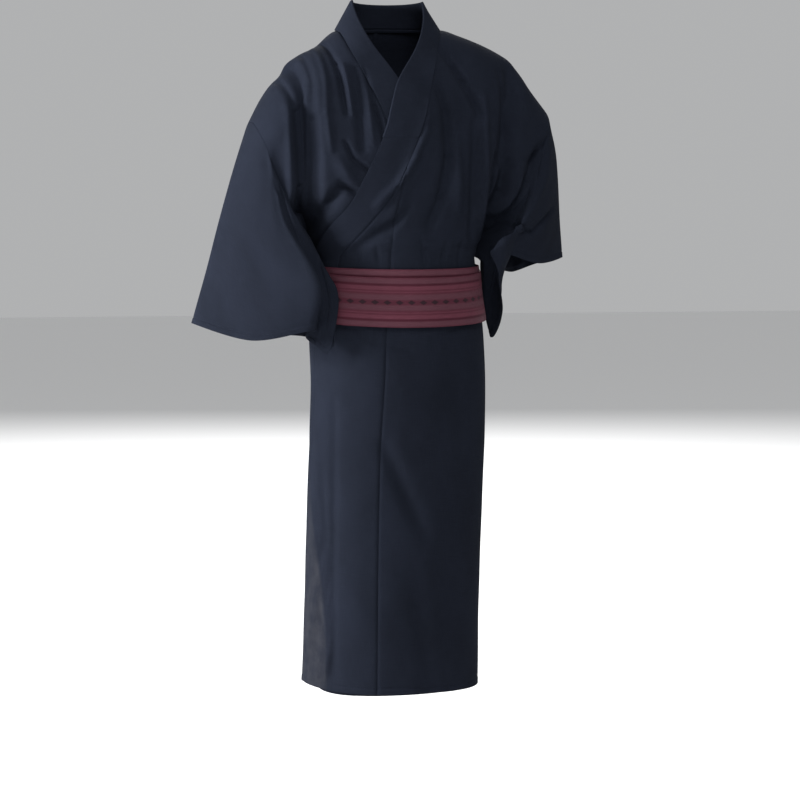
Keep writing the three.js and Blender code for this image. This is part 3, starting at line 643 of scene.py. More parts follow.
def all_rows():
    upper = np.linspace(0, 1, UPPER_ROWS + 1) ** 1.2
    hem = hem_shares(HEM - UNDERARM)
    steps = np.linspace(0, 1, SKIRT_ROWS + 1)[1:]
    skirt = 1 + np.concatenate([steps[steps < hem[0] - 0.002], hem])
    fixed = [CROSSING, COVER_END, OVERLAP_TOP, COLLAR_END]
    return np.unique(np.round(np.concatenate([upper, skirt, fixed]), 6))


ALL_ROWS = all_rows()


def length_along(points, axis):
    """Running length over a grid, along its rows (1) or its columns (0)."""
    steps = np.linalg.norm(np.diff(points, axis=axis), axis=-1)
    total = np.cumsum(steps, axis=axis)
    start = np.zeros_like(np.take(total, [0], axis=axis))
    return np.concatenate([start, total], axis=axis)


def unrolled(points):
    """The place on the cloth of each point of a grid, in millimetres across and down."""
    return np.stack([length_along(points, 1), length_along(points, 0)], axis=-1)


def facing(points):
    """The way a grid faces, from its own lines."""
    du = np.gradient(points, axis=1)
    dv = np.gradient(points, axis=0)
    return unit(np.cross(du, dv))


class Patch:
    """A grid of cloth: its points, the way it faces, and its place on the cloth in millimetres."""

    def __init__(self, points, cloth=None):
        self.points = points
        self.out = facing(points)
        self.cloth = unrolled(points) if cloth is None else cloth

    def outward(self, towards):
        """Turns the way it faces to agree with the given directions."""
        if np.sum(self.out * towards) < 0:
            self.out = -self.out
        return self

    def moved(self, distance):
        """Moves the points out by a distance, which may differ over the grid."""
        self.points = self.points + self.out * np.broadcast_to(distance, self.points.shape[:2])[..., None]

    def from_edge(self, edge):
        """Distance of each point from an edge: first or last column, top or bottom row."""
        across = length_along(self.points, 1)
        down = length_along(self.points, 0)
        near = {"first": across, "last": across[:, -1:] - across, "top": down, "bottom": down[-1:] - down}
        return near[edge]

    def seamed(self, depth, *edges):
        """Rolls the cloth in along its sewn edges."""
        for edge in edges:
            self.moved(-depth * np.exp(-((self.from_edge(edge) / SEAM_REACH) ** 2)))

    def hemmed(self, *edges):
        """Turned-up hems: slightly thicker, with a groove at their upper edge."""
        for edge in edges:
            away = self.from_edge(edge)
            thick = HEM_RISE * (1 - ease((away - HEM_DEPTH + 1) / 2))
            line = HEM_GROOVE * np.exp(-(((away - HEM_DEPTH) / HEM_GROOVE_WIDTH) ** 2))
            self.moved(thick - line)

    def lipped(self, edge, under, depth):
        """A seam allowance at the first or last column. It passes under the next piece and stops light."""
        way = 1 if edge == "first" else -1
        rim, out, place = [grid[:, ::way][:, 0] for grid in (self.points, self.out, self.cloth)]
        near = lerp(rim, under, 0.04) - out * depth
        far = under - out * depth

        def joined(first, second, grid):
            return np.concatenate([np.stack([first, second], axis=1), grid[:, ::way]], axis=1)[:, ::way]

        self.points = joined(far, near, self.points)
        self.out = joined(out, out, self.out)
        self.cloth = joined(place, place, self.cloth)

    def drawn_in(self, first=0.0, last=0.0):
        """Draws the first or last column back from a seam."""
        for column, inner, distance in ((0, 1, first), (-1, -2, last)):
            self.points[:, column] += unit(self.points[:, inner] - self.points[:, column]) * distance


def wound(patches, inverse, merged, turned):
    """The patches' quads by the merged points, each patch wound to face the way it is turned."""
    faces = []
    start = 0
    for p in patches:
        tall, wide = p.points.shape[:2]
        ids = inverse[start : start + tall * wide].reshape(tall, wide)
        start += tall * wide
        quads = np.stack([ids[:-1, :-1], ids[1:, :-1], ids[1:, 1:], ids[:-1, 1:]], axis=-1).reshape(-1, 4)
        a, b, d = merged[quads[:, 0]], merged[quads[:, 1]], merged[quads[:, 3]]
        if np.sum(np.cross(b - a, d - a) * turned[quads[:, 0]]) < 0:
            quads = quads[:, ::-1]
        faces.append(quads)
    return np.concatenate(faces)


def shell(name, patches, thickness, material, thin=None):
    """A closed shell of cloth round one or more patches that share the points along their common edge."""
    points, out, cloth = (
        np.concatenate([getattr(p, grid).reshape(-1, size) for p in patches])
        for grid, size in (("points", 3), ("out", 3), ("cloth", 2))
    )
    keys = np.round(points * KEYS_PER_MM).astype(np.int64)
    _, first, inverse = np.unique(keys, axis=0, return_index=True, return_inverse=True)
    inverse = inverse.reshape(-1)
    merged = points[first]
    turned = np.zeros_like(merged)
    np.add.at(turned, inverse, out)
    turned = unit(turned)
    count = len(merged)
    outer = wound(patches, inverse, merged, turned)
    edges = np.concatenate([outer[:, [k, (k + 1) % 4]] for k in range(4)])
    codes = np.sort(edges, axis=1) @ np.array([count, 1])
    _, where, uses = np.unique(codes, return_index=True, return_counts=True)
    rim = edges[where[uses == 1]]
    rims = np.stack([rim[:, 1], rim[:, 0], rim[:, 0] + count, rim[:, 1] + count], axis=-1)
    every = np.concatenate([outer, outer[:, ::-1] + count, rims])
    half = turned * (thickness / 2)
    vertices = np.concatenate([merged + half, merged - half]) / 1000
    mesh = bpy.data.meshes.new(name)
    mesh.from_pydata(vertices.tolist(), [], every.tolist())
    mesh.shade_smooth()
    mesh.set_sharp_from_angle(angle=math.radians(SHARP_ANGLE))
    layer = mesh.uv_layers.new(name="cloth")
    placed = np.concatenate([cloth[first], cloth[first]]) / 1000
    layer.data.foreach_set("uv", placed[every.reshape(-1)].reshape(-1))
    if thin is not None:
        spread = [np.broadcast_to(share, p.points.shape[:2]) for share, p in zip(thin, patches)]
        shares = np.concatenate([share.reshape(-1) for share in spread])
        # The share of painted light: where a lighter colour stands in for light coming through one layer
        attribute = mesh.attributes.new("thin", "FLOAT", "POINT")
        attribute.data.foreach_set("value", np.tile(shares[first], 2))
    mesh.materials.append(material)
    piece = bpy.data.objects.new(name, mesh)
    bpy.context.scene.collection.objects.link(piece)
    return piece


def cloth_from_side(points, way):
    """Places on a body length's cloth, from its side seam and from the shoulder."""
    across = length_along(points, 1)
    down = np.broadcast_to(length_along(points, 0)[:, -1:], points.shape[:2])
    return np.stack([across[:, -1:] - across, way * down], axis=-1)


def body_panel(side, material):
    """One length of cloth from the back hem over the shoulder to the front hem."""
    columns = edged(FRONT_COLUMNS)
    rows_down = ALL_ROWS[:, None]
    neckline = front_line(side, ALL_ROWS, "seam")
    line = np.where(ALL_ROWS < OVERLAP_TOP, neckline, front_line(side, ALL_ROWS, "overlap"))
    front = front_at(side, lerp(line[:, None], side, columns[None, :]), rows_down)
    neck = side * NECK_SHARE * np.linspace(0, 1, NECK_COLUMNS + 1)[:-1]
    wide = side * lerp(NECK_SHARE, 1, columns)
    back = back_at(side, np.concatenate([neck, wide])[None, :], rows_down)
    # Both patches start from the same shoulder line
    front[0] = back[0, NECK_COLUMNS:]
    front_patch = Patch(front, cloth=cloth_from_side(front, -1)).outward(FORWARD)
    back_patch = Patch(back, cloth=cloth_from_side(back, 1)).outward(-FORWARD)
    shared = unit(front_patch.out[0] + back_patch.out[0, NECK_COLUMNS:])
    for patch in (front_patch, back_patch):
        patch.hemmed("bottom")
        patch.seamed(CENTRE_SEAM, "first")
        patch.seamed(SIDE_SEAM, "last")
    join = (front_patch.points[0] + back_patch.points[0, NECK_COLUMNS:]) / 2
    for patch in (front_patch, back_patch):
        patch.drawn_in(first=DRAWN, last=DRAWN)
    front_patch.points[0] = join
    back_patch.points[0, NECK_COLUMNS:] = join
    front_patch.out[0] = shared
    back_patch.out[0, NECK_COLUMNS:] = shared
    if side == LEFT:
        beyond = back_at(side, np.full(len(ALL_ROWS), -side * ALLOWANCE), ALL_ROWS)
        back_patch.lipped("first", beyond, ALLOWANCE_DEPTH)
    # Below the armhole the side seam's allowance passes under the front
    rim, inner = back_patch.points[:, -1], back_patch.points[:, -2]
    short = rim + ARMHOLE_ALLOWANCE * unit(rim - inner)
    beyond = np.where((ALL_ROWS > 1)[:, None], front_patch.points[:, -4], short)
    back_patch.lipped("last", beyond, ALLOWANCE_DEPTH)
    name = "robe_left" if side == LEFT else "robe_right"
    return shell(name, [back_patch, front_patch], COTTON, material, thin=[0.0, 0.0])


def overlap_panel(side, material):
    """The panel that widens a front: an upper patch along the collar and a lower one to the free edge."""
    inner = edged(OVERLAP_COLUMNS, 0.03)
    upper = ALL_ROWS[(ALL_ROWS >= OVERLAP_TOP) & (ALL_ROWS <= COLLAR_END)]
    upper[0] = lerp(upper[0], upper[1], 0.8)
    lower = ALL_ROWS[ALL_ROWS >= COLLAR_END]
    grids = []
    for levels, beyond in ((upper, []), (lower, edged(EDGE_COLUMNS, 0.03)[1:])):
        rows_down = levels[:, None]
        overlap = front_line(side, rows_down, "overlap")
        seam = front_line(side, rows_down, "seam")
        across = lerp(overlap, seam, inner[None, :])
        if len(beyond):
            outer = lerp(seam, front_line(side, rows_down, "edge"), beyond[None, :])
            across = np.concatenate([across, outer], axis=1)
        grids.append((front_at(side, across, rows_down), across))
    patches = []
    offset = 0.0
    for points, _ in grids:
        down = np.broadcast_to(length_along(points, 0)[:, :1], points.shape[:2]) + offset
        offset = down[-1, 0]
        cloth = np.stack([length_along(points, 1), down], axis=-1)
        patches.append(Patch(points, cloth=cloth).outward(FORWARD))
    top, bottom = patches
    seam_columns = top.points.shape[1]
    shared = unit(top.out[-1] + bottom.out[0, :seam_columns])
    top.seamed(OVERLAP_SEAM, "first", "last")
    bottom.seamed(LOW_OVERLAP_SEAM, "first")
    bottom.hemmed("bottom", "last")
    join = bottom.points[0, :seam_columns].copy()
    top.drawn_in(first=DRAWN)
    bottom.drawn_in(first=DRAWN)
    join[0] = bottom.points[0, 0]
    top.points[-1] = join
    top.out[-1] = shared
    bottom.out[0, :seam_columns] = shared
    # Painted light on the lower patch beyond the layers behind it, none on the upper one
    thin = [np.zeros(top.points.shape[:2]), free_edge_share(grids[1][1], lower, side)]
    name = "overlap_left" if side == LEFT else "overlap_right"
    return shell(name + "_cloth", patches, COTTON, material, thin)


def free_edge_share(across, levels, side):
    """How much a place lies beyond the layers behind it: the share of painted light there, a lighter colour
    painted in for light that comes through the single layer.
    """
    if side == RIGHT:
        return np.zeros(across.shape)
    start = lerp(0.9, 0.62, ease((levels - 1.35) / 0.6))[:, None]
    return ease((-across - start) / 0.04) * ease((levels[:, None] - 1.3) / 0.5)


def collar_point(station, band):
    """The collar by a station from one end, -1, round the nape, 0, to the other end, 1."""
    station, band = np.broadcast_arrays(np.asarray(station, float), np.asarray(band, float))
    points = np.zeros(station.shape + (3,))
    for side in (RIGHT, LEFT):
        mine = (station < 0) if side == RIGHT else (station >= 0)
        way = np.abs(station)
        angle = np.clip(way / NAPE_STATION, 0, 1) * math.pi / 2
        seam = body(side, side * NECK_SHARE * np.sin(angle), 1e-4, False)
        edge = stack(
            side * COLLAR_HALF * np.sin(angle),
            lerp(COLLAR_NAPE_Y, COLLAR_SIDE_Y, 1 - np.cos(angle)),
            COLLAR_RISE - COLLAR_NAPE_DIP * np.cos(angle),
        )
        nape = lerp(seam, edge, band[..., None])
        row = np.maximum((way - NAPE_STATION) / (1 - NAPE_STATION), 0) * COLLAR_END
        line = front_line(side, row, "seam")
        seam = front_at(side, line, row)
        turn = np.clip(row / CROSSING, 0, 1)
        quarter = turn * math.pi / 2
        edge = stack(
            side * COLLAR_HALF * np.cos(quarter) + CROSSING_SHIFT * np.sin(quarter),
            COLLAR_SIDE_Y - COLLAR_FRONT_REACH * np.sin(quarter),
            lerp(COLLAR_RISE, -UNDERARM * CROSSING, turn),
        )
        chest = front_at(side, lerp(line, front_line(side, row, "edge"), band), row)
        on_chest = ease((row / CROSSING - 0.55) / 0.45)[..., None]
        down = lerp(lerp(seam, edge, band[..., None]), chest, on_chest)
        way_round = np.where((way <= NAPE_STATION)[..., None], nape, down)
        points = np.where(mine[..., None], way_round, points)
    return points


def collar_stations(lowest):
    down = ALL_ROWS[(ALL_ROWS > 0.004) & (ALL_ROWS <= lowest)]
    down = NAPE_STATION + (down / COLLAR_END) * (1 - NAPE_STATION)
    around = np.linspace(-1, 1, NAPE_STEPS + 1) * NAPE_STATION
    return np.concatenate([-down[::-1], around, down])


def facing_back(patch, column):
    """Turns a patch of the collar so that it faces back at its middle, the nape."""
    if patch.out[len(patch.out) // 2, column, 1] < 0:
        patch.out = -patch.out


def collar_patch(lowest, bands):
    stations = collar_stations(lowest)
    patch = Patch(collar_point(stations[:, None], bands[None, :]))
    facing_back(patch, 0)
    return patch, stations


def collar(material):
    bands = edged(COLLAR_COLUMNS, 0.05)
    patch, stations = collar_patch(COLLAR_END, bands)
    patch.moved(COLLAR_CROWN * (1 - (2 * bands[None, :] - 1) ** 2))
    patch.seamed(COLLAR_SEAM, "first")
    patch.drawn_in(first=COLLAR_DRAWN)
    beyond = collar_point(stations, np.full(len(stations), -COLLAR_ALLOWANCE))
    patch.lipped("first", beyond, COLLAR_ALLOWANCE_DEPTH)
    return shell("collar_band", [patch], FOLDED, material)


def collar_cover(material):
    """The over-collar goes round the collar's free edge and lies on both of its faces."""
    outer = lerp(0.02, 1, edged(COLLAR_COLUMNS, 0.05))
    inner = np.linspace(1, 0.1, COVER_INNER_COLUMNS)
    bands = np.concatenate([outer, [1.0] * 3, inner])
    lifts = np.concatenate([np.ones(len(outer)), [0.7, 0.0, -0.7], -np.ones(len(inner))])
    beyond = np.concatenate([np.zeros(len(outer)), [1.2, 1.8, 1.2], np.zeros(len(inner))])
    patch, _ = collar_patch(COVER_END, bands)
    base, _ = collar_patch(COVER_END, np.array([0.0, 1.0]))
    outward = unit(base.points[:, 1] - base.points[:, 0])[:, None]
    single, _ = collar_patch(COVER_END, np.linspace(0, 1, COVER_STEPS + 1))
    step = np.minimum((bands * COVER_STEPS).astype(int), COVER_STEPS - 1)
    out = lerp(single.out[:, step], single.out[:, step + 1], (bands * COVER_STEPS - step)[:, None])
    lifted = unit(out) * (lifts * COVER_LIFT)[None, :, None]
    patch.points = patch.points + lifted + outward * beyond[None, :, None]
    patch.out = facing(patch.points)
    facing_back(patch, 2)
    patch.cloth = unrolled(patch.points)
    patch.seamed(EDGE_SEAM, "top", "bottom")
    return shell("collar_cover_band", [patch], COVER, material)


def armhole(side, round_):
    row = 2 * round_ - 1
    edge = np.full(np.shape(row), float(side))
    front = body(side, edge, np.minimum(row, -4e-4), True)
    back = back_at(side, edge, row)
    return np.where((row <= 0)[..., None], front, back)


def on_ring(ring, round_):
    xs = [*STATIONS.values(), 1]
    names = [*STATIONS, "bottom"]
    return stack(*[curve(xs, [ring[name][k] for name in names], round_) for k in range(3)])


def clear_of_body(point):
    """Points moved out of the body's section, where they lie in it."""
    drop = -point[..., 2]
    clearance = BODY_CLEARANCE * ease((drop - UNDERARM + 12) / 22)
    middle = read(RING, drop, "sway")
    half = read(RING, drop, "half") + clearance
    front = read(RING, drop, "front")
    back = read(RING, drop, "back")
    depth = np.where(point[..., 1] < 0, front, back) + clearance
    reach = np.hypot((point[..., 0] - middle) / half, point[..., 1] / depth)
    pushed = stack(middle + (point[..., 0] - middle) / reach, point[..., 1] / reach, point[..., 2])
    inside = (drop >= UNDERARM - 12) & (reach < 1)
    return np.where(inside[..., None], pushed, point)


def sewn_share(round_, along):
    """How far the two layers are held face to face, at the bottom seam and the lower part of the wrist."""
    low = np.minimum(round_, 1 - round_)
    wrist = ease((0.27 - low) / 0.04) * ease((along - 0.72) / 0.2)
    return np.maximum(wrist, ease((0.07 - low) / 0.05))


def sleeve_point(side, round_, along):
    sleeve = SLEEVES[side]
    lowness = np.minimum(round_, 1 - round_)
    low = np.clip(lowness / SLEEVE_CORNER, 0, 1)
    t = along * (1 - SLEEVE_CORNER_CUT * (1 - np.sqrt(np.clip(1 - (1 - low) ** 2, 0, 1))))
    course = [armhole(side, round_)] + [on_ring(ring, round_) for ring in sleeve["rings"]]
    levels = [0] + [ring["along"] for ring in sleeve["rings"]]
    point = stack(*[curve(levels, [c[..., k] for c in course], t) for k in range(3)])
    leave = (t / SLEEVE_TURN) * np.exp(1 - t / SLEEVE_TURN)
    point[..., 0] += side * SLEEVE_LEAVE * leave * ease(1 - lowness / 0.3)
    front = np.where(round_ < 0.5, 1, -1)
    lay = np.array(sleeve["lay"], float)
    lay /= np.linalg.norm(lay)
    apart = front * LAYER_HALF * sewn_share(round_, t)
    return clear_of_body(point) + apart[..., None] * lay


def sleeve_panel(side, material):
    """One length of cloth folded along the arm, sewn at the bottom and hemmed at the wrist."""
    lines = np.linspace(0, 1, SLEEVE_ROUND + 1)
    hem = hem_shares(SLEEVE_LENGTH)
    steps = np.linspace(0, 1, SLEEVE_ALONG + 1)
    alongs = np.concatenate([[0, 0.004], steps[(steps > 0.006) & (steps < hem[0] - 0.002)], hem])
    round_, along = np.meshgrid(lines, alongs)
    points = sleeve_point(side, round_, along)
    patch = Patch(points)
    middle = points.reshape(-1, 3).mean(axis=0)
    patch.outward(points - middle)
    depth = fold_depth(SLEEVES[side]["folds"], round_ * SLEEVE_GIRTH, along * SLEEVE_LENGTH, fading=False)
    if side == LEFT:
        # The front's folds run on over the sleeve
        shared = fold_depth(LEFT_FRONT_FOLDS, points[..., 0], -points[..., 2])
        depth = depth + shared * ease((0.49 - round_) / 0.06) * ease(along / 0.25) * ease((1 - along) / 0.3)
    free = ease(np.minimum(round_, 1 - round_) / 0.06) * ease(along / 0.12)
    sewn = 1 - sewn_share(round_, along)
    patch.moved(-depth * free * np.clip(sewn + 0.15, 0, 1))
    patch.moved(ripples(round_ * SLEEVE_GIRTH, along * SLEEVE_LENGTH, SLEEVE_RIPPLES) * free * sewn)
    patch.hemmed("bottom")
    patch.seamed(EDGE_SEAM, "top")
    patch.points[0] = patch.points[0] + unit(patch.points[1] - patch.points[0]) * SLEEVE_START
    name = "sleeve_left_cloth" if side == LEFT else "sleeve_right_cloth"
    return shell(name, [patch], COTTON, material)


def belt_point(turn, up):
    angle = (turn - 0.5) * 2 * math.pi
    slip = BELT_SLIP * np.clip(turn, 0, 1) * (1 + np.cos(angle)) * 0.5
    drop = BELT_DROP + BELT_TILT * np.cos(angle) + np.where(turn > 1, slip, 0) - up
    return ring_point(drop, angle, BELT_OFFSET + BELT_PITCH * turn)


def belt(material):
    """The belt, a spiral of two turns that starts and ends at the middle of the back."""
    turns = np.linspace(0, BELT_TURNS, BELT_STEPS * BELT_TURNS + 1)
    ups = lerp(-0.5, 0.5, edged(BELT_ROWS, 0.03)) * BELT_WIDTH
    turn, up = np.meshgrid(turns, ups, indexing="ij")
    patch = Patch(belt_point(turn, up))
    patch.outward(patch.points * np.array([1, 1, 0]))
    length = length_along(patch.points, 0)[:, :1]
    patch.cloth = np.stack([np.broadcast_to(length, turn.shape), up], axis=-1)
    patch.moved(BELT_WAVE * np.sin(length / 47) * np.sin(up / 21 + length / 90))
    patch.seamed(EDGE_SEAM, "first", "last")
    return shell("belt_band", [patch], WEBBING, material)


def knot_strip(strip, lowest, material):
    """A strip of the knot, laid over the belt's back. One of two layers is folded back at its far end."""
    slope = math.atan2(strip["rise"], strip["reach"] - strip["start"])
    run = math.hypot(strip["rise"], strip["reach"] - strip["start"])
    layers = strip["layers"]
    alongs = np.linspace(0, layers, KNOT_STEPS * layers + 1)
    if layers > 1:
        alongs = np.unique(np.concatenate([alongs, np.linspace(0.97, 1.03, 13)]))
    across = lerp(-0.5, 0.5, edged(KNOT_COLUMNS, 0.04))
    v, u = np.meshgrid(across, alongs)
    along = np.where(u > 1, 2 - u, u)
    width = strip["width"]
    x = strip["start"] + along * run * math.cos(slope) - v * width * math.sin(slope)
    up = strip["up"] - strip["rise"] / 2 + along * run * math.sin(slope) + v * width * math.cos(slope)
    angle = math.pi - np.arcsin(x / BELT_HALF)
    rise = KNOT_FOLD * ease((u - 0.97) / 0.06) if layers > 1 else 0.0
    points = ring_point(BELT_DROP - BELT_TILT - up, angle, lowest + rise)
    patch = Patch(points, cloth=np.stack([u * run, v * width], axis=-1))
    # A layer that is folded back faces away from the one under it
    patch.outward(np.where((u > 1) | (layers == 1), 1, -1)[..., None] * -FORWARD)
    patch.seamed(STRIP_SEAM, "first", "last")
    return shell(strip["name"] + "_strip", [patch], WEBBING, material)


def principled(name, settings):
    material = bpy.data.materials.new(name)
    material.use_nodes = True
    shader = material.node_tree.nodes["Principled BSDF"]
    for socket, value in settings.items():
        shader.inputs[socket].default_value = value
    return material, material.node_tree, shader


def link(tree, source, target):
    tree.links.new(source, target)


def node(tree, kind, **settings):
    made = tree.nodes.new(kind)
    for key, value in settings.items():
        if key in made.inputs:
            made.inputs[key].default_value = value
        else:
            setattr(made, key, value)
    return made


def math_node(tree, operation, first, second=None):
    made = node(tree, "ShaderNodeMath", operation=operation)
    for index, value in enumerate((first, second)):
        if value is None:
            continue
        if isinstance(value, (int, float)):
            made.inputs[index].default_value = value
        else:
            link(tree, value, made.inputs[index])
    return made.outputs[0]


def cloth_place(tree, across, along):
    """The place on the cloth, scaled so that one unit is the given number of metres each way."""
    place = node(tree, "ShaderNodeUVMap", uv_map="cloth")
    mapping = node(tree, "ShaderNodeMapping")
    mapping.inputs["Scale"].default_value = (1 / across, 1 / along, 1)
    link(tree, place.outputs["UV"], mapping.inputs["Vector"])
    return mapping.outputs["Vector"]


def ramp(tree, source, stops):
    made = node(tree, "ShaderNodeValToRGB")
    elements = made.color_ramp.elements
    while len(elements) < len(stops):
        elements.new(0.5)
    for element, (position, colour) in zip(elements, stops):
        element.position = position
        element.color = (*colour, 1)
    link(tree, source, made.inputs["Fac"])
    return made.outputs["Color"]


def mixed(tree, share, first, second, blend="MIX"):
    made = node(tree, "ShaderNodeMix", data_type="RGBA", blend_type=blend)
    colours = [socket for socket in made.inputs if socket.type == "RGBA"]
    for socket, value in zip([made.inputs["Factor"], *colours], (share, first, second)):
        if isinstance(value, (int, float)):
            socket.default_value = value
        elif isinstance(value, tuple):
            socket.default_value = (*value, 1)
        else:
            link(tree, value, socket)
    return next(socket for socket in made.outputs if socket.type == "RGBA")


def noise(tree, across, along, detail=3.0, roughness=0.6):
    """Noise over the cloth, with spots of about the given size in metres each way."""
    made = node(tree, "ShaderNodeTexNoise", Scale=1.0, Detail=detail, Roughness=roughness)
    link(tree, cloth_place(tree, across, along), made.inputs["Vector"])
    return made.outputs["Fac"]


def bumped(tree, shader, height, strength, distance):
    bump = node(tree, "ShaderNodeBump", Strength=strength, Distance=distance)
    link(tree, height, bump.inputs["Height"])
    link(tree, bump.outputs["Normal"], shader.inputs["Normal"])


# Colours are linear
COTTON_FINISH = {
    "Roughness": 0.88,
    "Sheen Weight": 0.006,
    "Sheen Roughness": 0.5,
    "Sheen Tint": (0.55, 0.62, 0.8, 1),
    "Specular IOR Level": 0.012,
}
COTTON_THREADS = [
    (0.34, (0.0062, 0.0075, 0.0118)),
    (0.5, (0.0074, 0.009, 0.014)),
    (0.66, (0.0092, 0.0111, 0.0168)),
]
COTTON_FADING = [(0.3, (0.9, 0.9, 0.9)), (0.7, (1.1, 1.1, 1.12))]
PAINTED_LIGHT_MOTTLE = [(0.36, (0.3, 0.3, 0.3)), (0.64, (1.0, 1.0, 1.0))]
# Painted light: a lighter colour that stands in for light coming through a single layer of cloth
PAINTED_LIGHT_THROUGH_COLOUR = (0.0165, 0.0176, 0.0222)


def cotton():
    """Dark blue-grey cotton: slubby threads, faint fading, and painted light: a lighter colour painted where
    one layer shows, standing in for light that comes through it.
    """
    material, tree, shader = principled("yukata cotton", COTTON_FINISH)
    warp = math_node(tree, "MULTIPLY", noise(tree, 0.0011, 0.03), 0.5)
    weft = math_node(tree, "MULTIPLY", noise(tree, 0.03, 0.0013), 0.5)
    threads = math_node(tree, "ADD", warp, weft)
    faded = ramp(tree, noise(tree, 0.09, 0.16, detail=2.0, roughness=0.5), COTTON_FADING)
    colour = mixed(tree, 1.0, ramp(tree, threads, COTTON_THREADS), faded, "MULTIPLY")
    # Painted light: a lighter colour mixed in by the share of light that would come through one layer, broken
    # up by noise
    thin = node(tree, "ShaderNodeAttribute", attribute_name="thin")
    painted_light_mottle = ramp(tree, noise(tree, 0.022, 0.045, roughness=0.65), PAINTED_LIGHT_MOTTLE)
    share = math_node(tree, "MULTIPLY", thin.outputs["Fac"], painted_light_mottle)
    colour = mixed(tree, share, colour, PAINTED_LIGHT_THROUGH_COLOUR)
    link(tree, colour, shader.inputs["Base Color"])
    bumped(tree, shader, math_node(tree, "ADD", threads, weave_height(tree, 0.0009)), 0.35, 0.0004)
    return material


def weave_height(tree, spacing):
    """A plain weave: threads that pass over and under each other, as a height from 0 to 1."""
    place = node(tree, "ShaderNodeSeparateXYZ")
    link(tree, cloth_place(tree, spacing / math.pi, spacing / math.pi), place.inputs["Vector"])
    across = math_node(tree, "SINE", place.outputs["X"])
    along = math_node(tree, "SINE", place.outputs["Y"])
    return math_node(tree, "MULTIPLY", across, along)


# The belt's stripes: places from an edge, 0, to the middle, 0.5
BELT_BRIGHT = (0.072, 0.019, 0.03)
BELT_MIDDLE = (0.048, 0.0105, 0.0185)
BELT_DARK = (0.033, 0.0055, 0.0115)
BELT_MAUVE = (0.059, 0.0205, 0.0295)
BELT_STRIPES = [
    (0.0, BELT_MIDDLE),
    (0.04, BELT_MAUVE),
    (0.105, BELT_MAUVE),
    (0.133, BELT_DARK),
    (0.155, BELT_DARK),
    (0.18, BELT_BRIGHT),
    (0.235, BELT_BRIGHT),
    (0.265, BELT_MIDDLE),
    (0.29, BELT_BRIGHT),
    (0.315, BELT_MIDDLE),
    (0.36, BELT_MAUVE),
    (0.43, BELT_MAUVE),
    (0.465, BELT_MIDDLE),
    (0.5, BELT_MIDDLE),
]
BELT_FINISH = {
    "Roughness": 0.55,
    "Sheen Weight": 0.02,
    "Sheen Roughness": 0.35,
    "Sheen Tint": (0.9, 0.6, 0.7, 1),
    "Specular IOR Level": 0.1,
}
BELT_SHADES = [(0.3, (0.78, 0.78, 0.78)), (0.7, (1.2, 1.2, 1.2))]
CHAIN_COLOUR = (0.016, 0.0065, 0.01)
CHAIN_PITCH = 0.0256  # lengths in metres
CHAIN_LENGTH = 0.0156
CHAIN_HALF = 0.0045


def belt_weave():
    """Burgundy woven belt: lengthwise stripes alike on both sides of a dark chain, and fine cross ribs."""
    material, tree, shader = principled("belt weave", BELT_FINISH)
    place = node(tree, "ShaderNodeSeparateXYZ")
    link(tree, cloth_place(tree, 1, 1), place.inputs["Vector"])
    along, across = place.outputs["X"], place.outputs["Y"]
    off_middle = math_node(tree, "ABSOLUTE", across)
    from_edge = math_node(tree, "SUBTRACT", 0.5, math_node(tree, "MULTIPLY", off_middle, 1000 / BELT_WIDTH))
    colour = ramp(tree, from_edge, BELT_STRIPES)
    phase = math_node(tree, "PINGPONG", along, CHAIN_PITCH / 2)
    along_share = math_node(tree, "DIVIDE", phase, CHAIN_LENGTH / 2)
    cross_share = math_node(tree, "DIVIDE", off_middle, CHAIN_HALF)
    diamond = math_node(tree, "SUBTRACT", 1.25, math_node(tree, "ADD", along_share, cross_share))
    diamond = math_node(tree, "MULTIPLY", diamond, 4.0)
    diamond.node.use_clamp = True
    colour = mixed(tree, diamond, colour, CHAIN_COLOUR)
    threads = noise(tree, 0.02, 0.0008)
    colour = mixed(tree, 1.0, colour, ramp(tree, threads, BELT_SHADES), "MULTIPLY")
    link(tree, colour, shader.inputs["Base Color"])
    ribs = node(tree, "ShaderNodeSeparateXYZ")
    link(tree, cloth_place(tree, 0.0012 / math.pi, 0.0006 / math.pi), ribs.inputs["Vector"])
    rib = math_node(tree, "ABSOLUTE", math_node(tree, "SINE", ribs.outputs["X"]))
    height = math_node(tree, "ADD", rib, math_node(tree, "MULTIPLY", threads, 0.7))
    bumped(tree, shader, height, 0.4, 0.0005)
    return material


def way_to(azimuth, elevation):
    """The way from the part to a place round it. The azimuth is 0 in front and grows to the wearer's left."""
    a, e = math.radians(azimuth), math.radians(elevation)
    return Vector((math.sin(a) * math.cos(e), -math.cos(a) * math.cos(e), math.sin(e)))


def aimed(name, data, location, way):
    """A light or camera that looks against the given way."""
    made = bpy.data.objects.new(name, data)
    made.location = location
    made.rotation_euler = way.to_track_quat("Z", "Y").to_euler()
    bpy.context.scene.collection.objects.link(made)
    return made


def area_light(row):
    light = bpy.data.lights.new(row["name"], "AREA")
    light.energy = row["power"]
    light.shape = "SQUARE"
    light.size = row["size"]
    way = way_to(row["azimuth"], row["elevation"])
    aimed(row["name"], light, Vector((0, 0, row["height"])) + way * row["distance"], way)


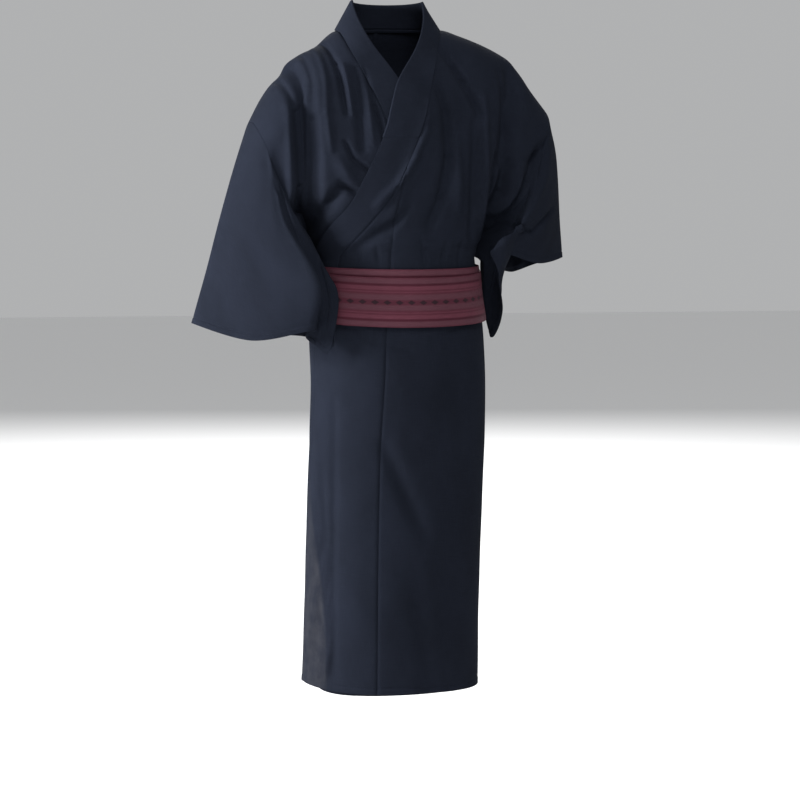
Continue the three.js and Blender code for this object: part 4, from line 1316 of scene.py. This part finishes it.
def room():
    """A pale floor, pale surroundings, soft light from the camera's left, and the camera."""
    scene = bpy.context.scene
    scene.view_settings.view_transform = "Standard"
    world = bpy.data.worlds.new("pale room")
    world.use_nodes = True
    background = world.node_tree.nodes["Background"]
    background.inputs["Color"].default_value = WORLD_COLOUR
    background.inputs["Strength"].default_value = WORLD_STRENGTH
    scene.world = world
    bpy.ops.mesh.primitive_plane_add(size=60, location=(0, 0, -FLOOR_DROP / 1000))
    floor = bpy.context.object
    floor.name = "floor"
    floor.data.materials.append(principled("pale floor", {"Roughness": 0.9, "Base Color": FLOOR_COLOUR})[0])
    for row in LIGHTS:
        area_light(row)
    way = way_to(AZIMUTH, ELEVATION)
    sideways = way_to(AZIMUTH + 90, 0)
    upwards = way.cross(sideways)
    middle = FRAME_PIXELS / 2
    look_at = sideways * (middle - ORIGIN_PIXEL[0]) * PIXEL + upwards * (ORIGIN_PIXEL[1] - middle) * PIXEL
    lens = bpy.data.cameras.new("camera")
    lens.lens = SENSOR * DISTANCE / (FRAME_PIXELS * PIXEL)
    lens.clip_end = 200
    scene.camera = aimed("camera", lens, (look_at + way * DISTANCE) / 1000, way)


# The robe's long pieces, which the solids cut across under the belt
STANDS_FOR = {
    "body_right": ["body_right", "skirt_front_right", "skirt_back_right"],
    "body_left": ["body_left", "skirt_front_left", "skirt_back_left"],
}


def main():
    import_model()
    cloth = cotton()
    webbing = belt_weave()
    made = {}
    for side, word in ((RIGHT, "right"), (LEFT, "left")):
        made["body_" + word] = body_panel(side, cloth)
        made["overlap_" + word] = overlap_panel(side, cloth)
        made["sleeve_" + word] = sleeve_panel(side, cloth)
    made["collar"] = collar(cloth)
    made["collar_cover"] = collar_cover(cloth)
    made["belt"] = belt(webbing)
    lowest = BELT_OFFSET + BELT_PITCH * BELT_TURNS + KNOT_LAYER + KNOT_GAP
    for strip in KNOT_STRIPS:
        made[strip["name"]] = knot_strip(strip, lowest, webbing)
        lowest += KNOT_LAYER + KNOT_GAP + (strip["layers"] - 1) * KNOT_FOLD
    for name, piece in made.items():
        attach(piece, "root")
        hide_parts(*STANDS_FOR.get(name, [name]))
    room()


main()
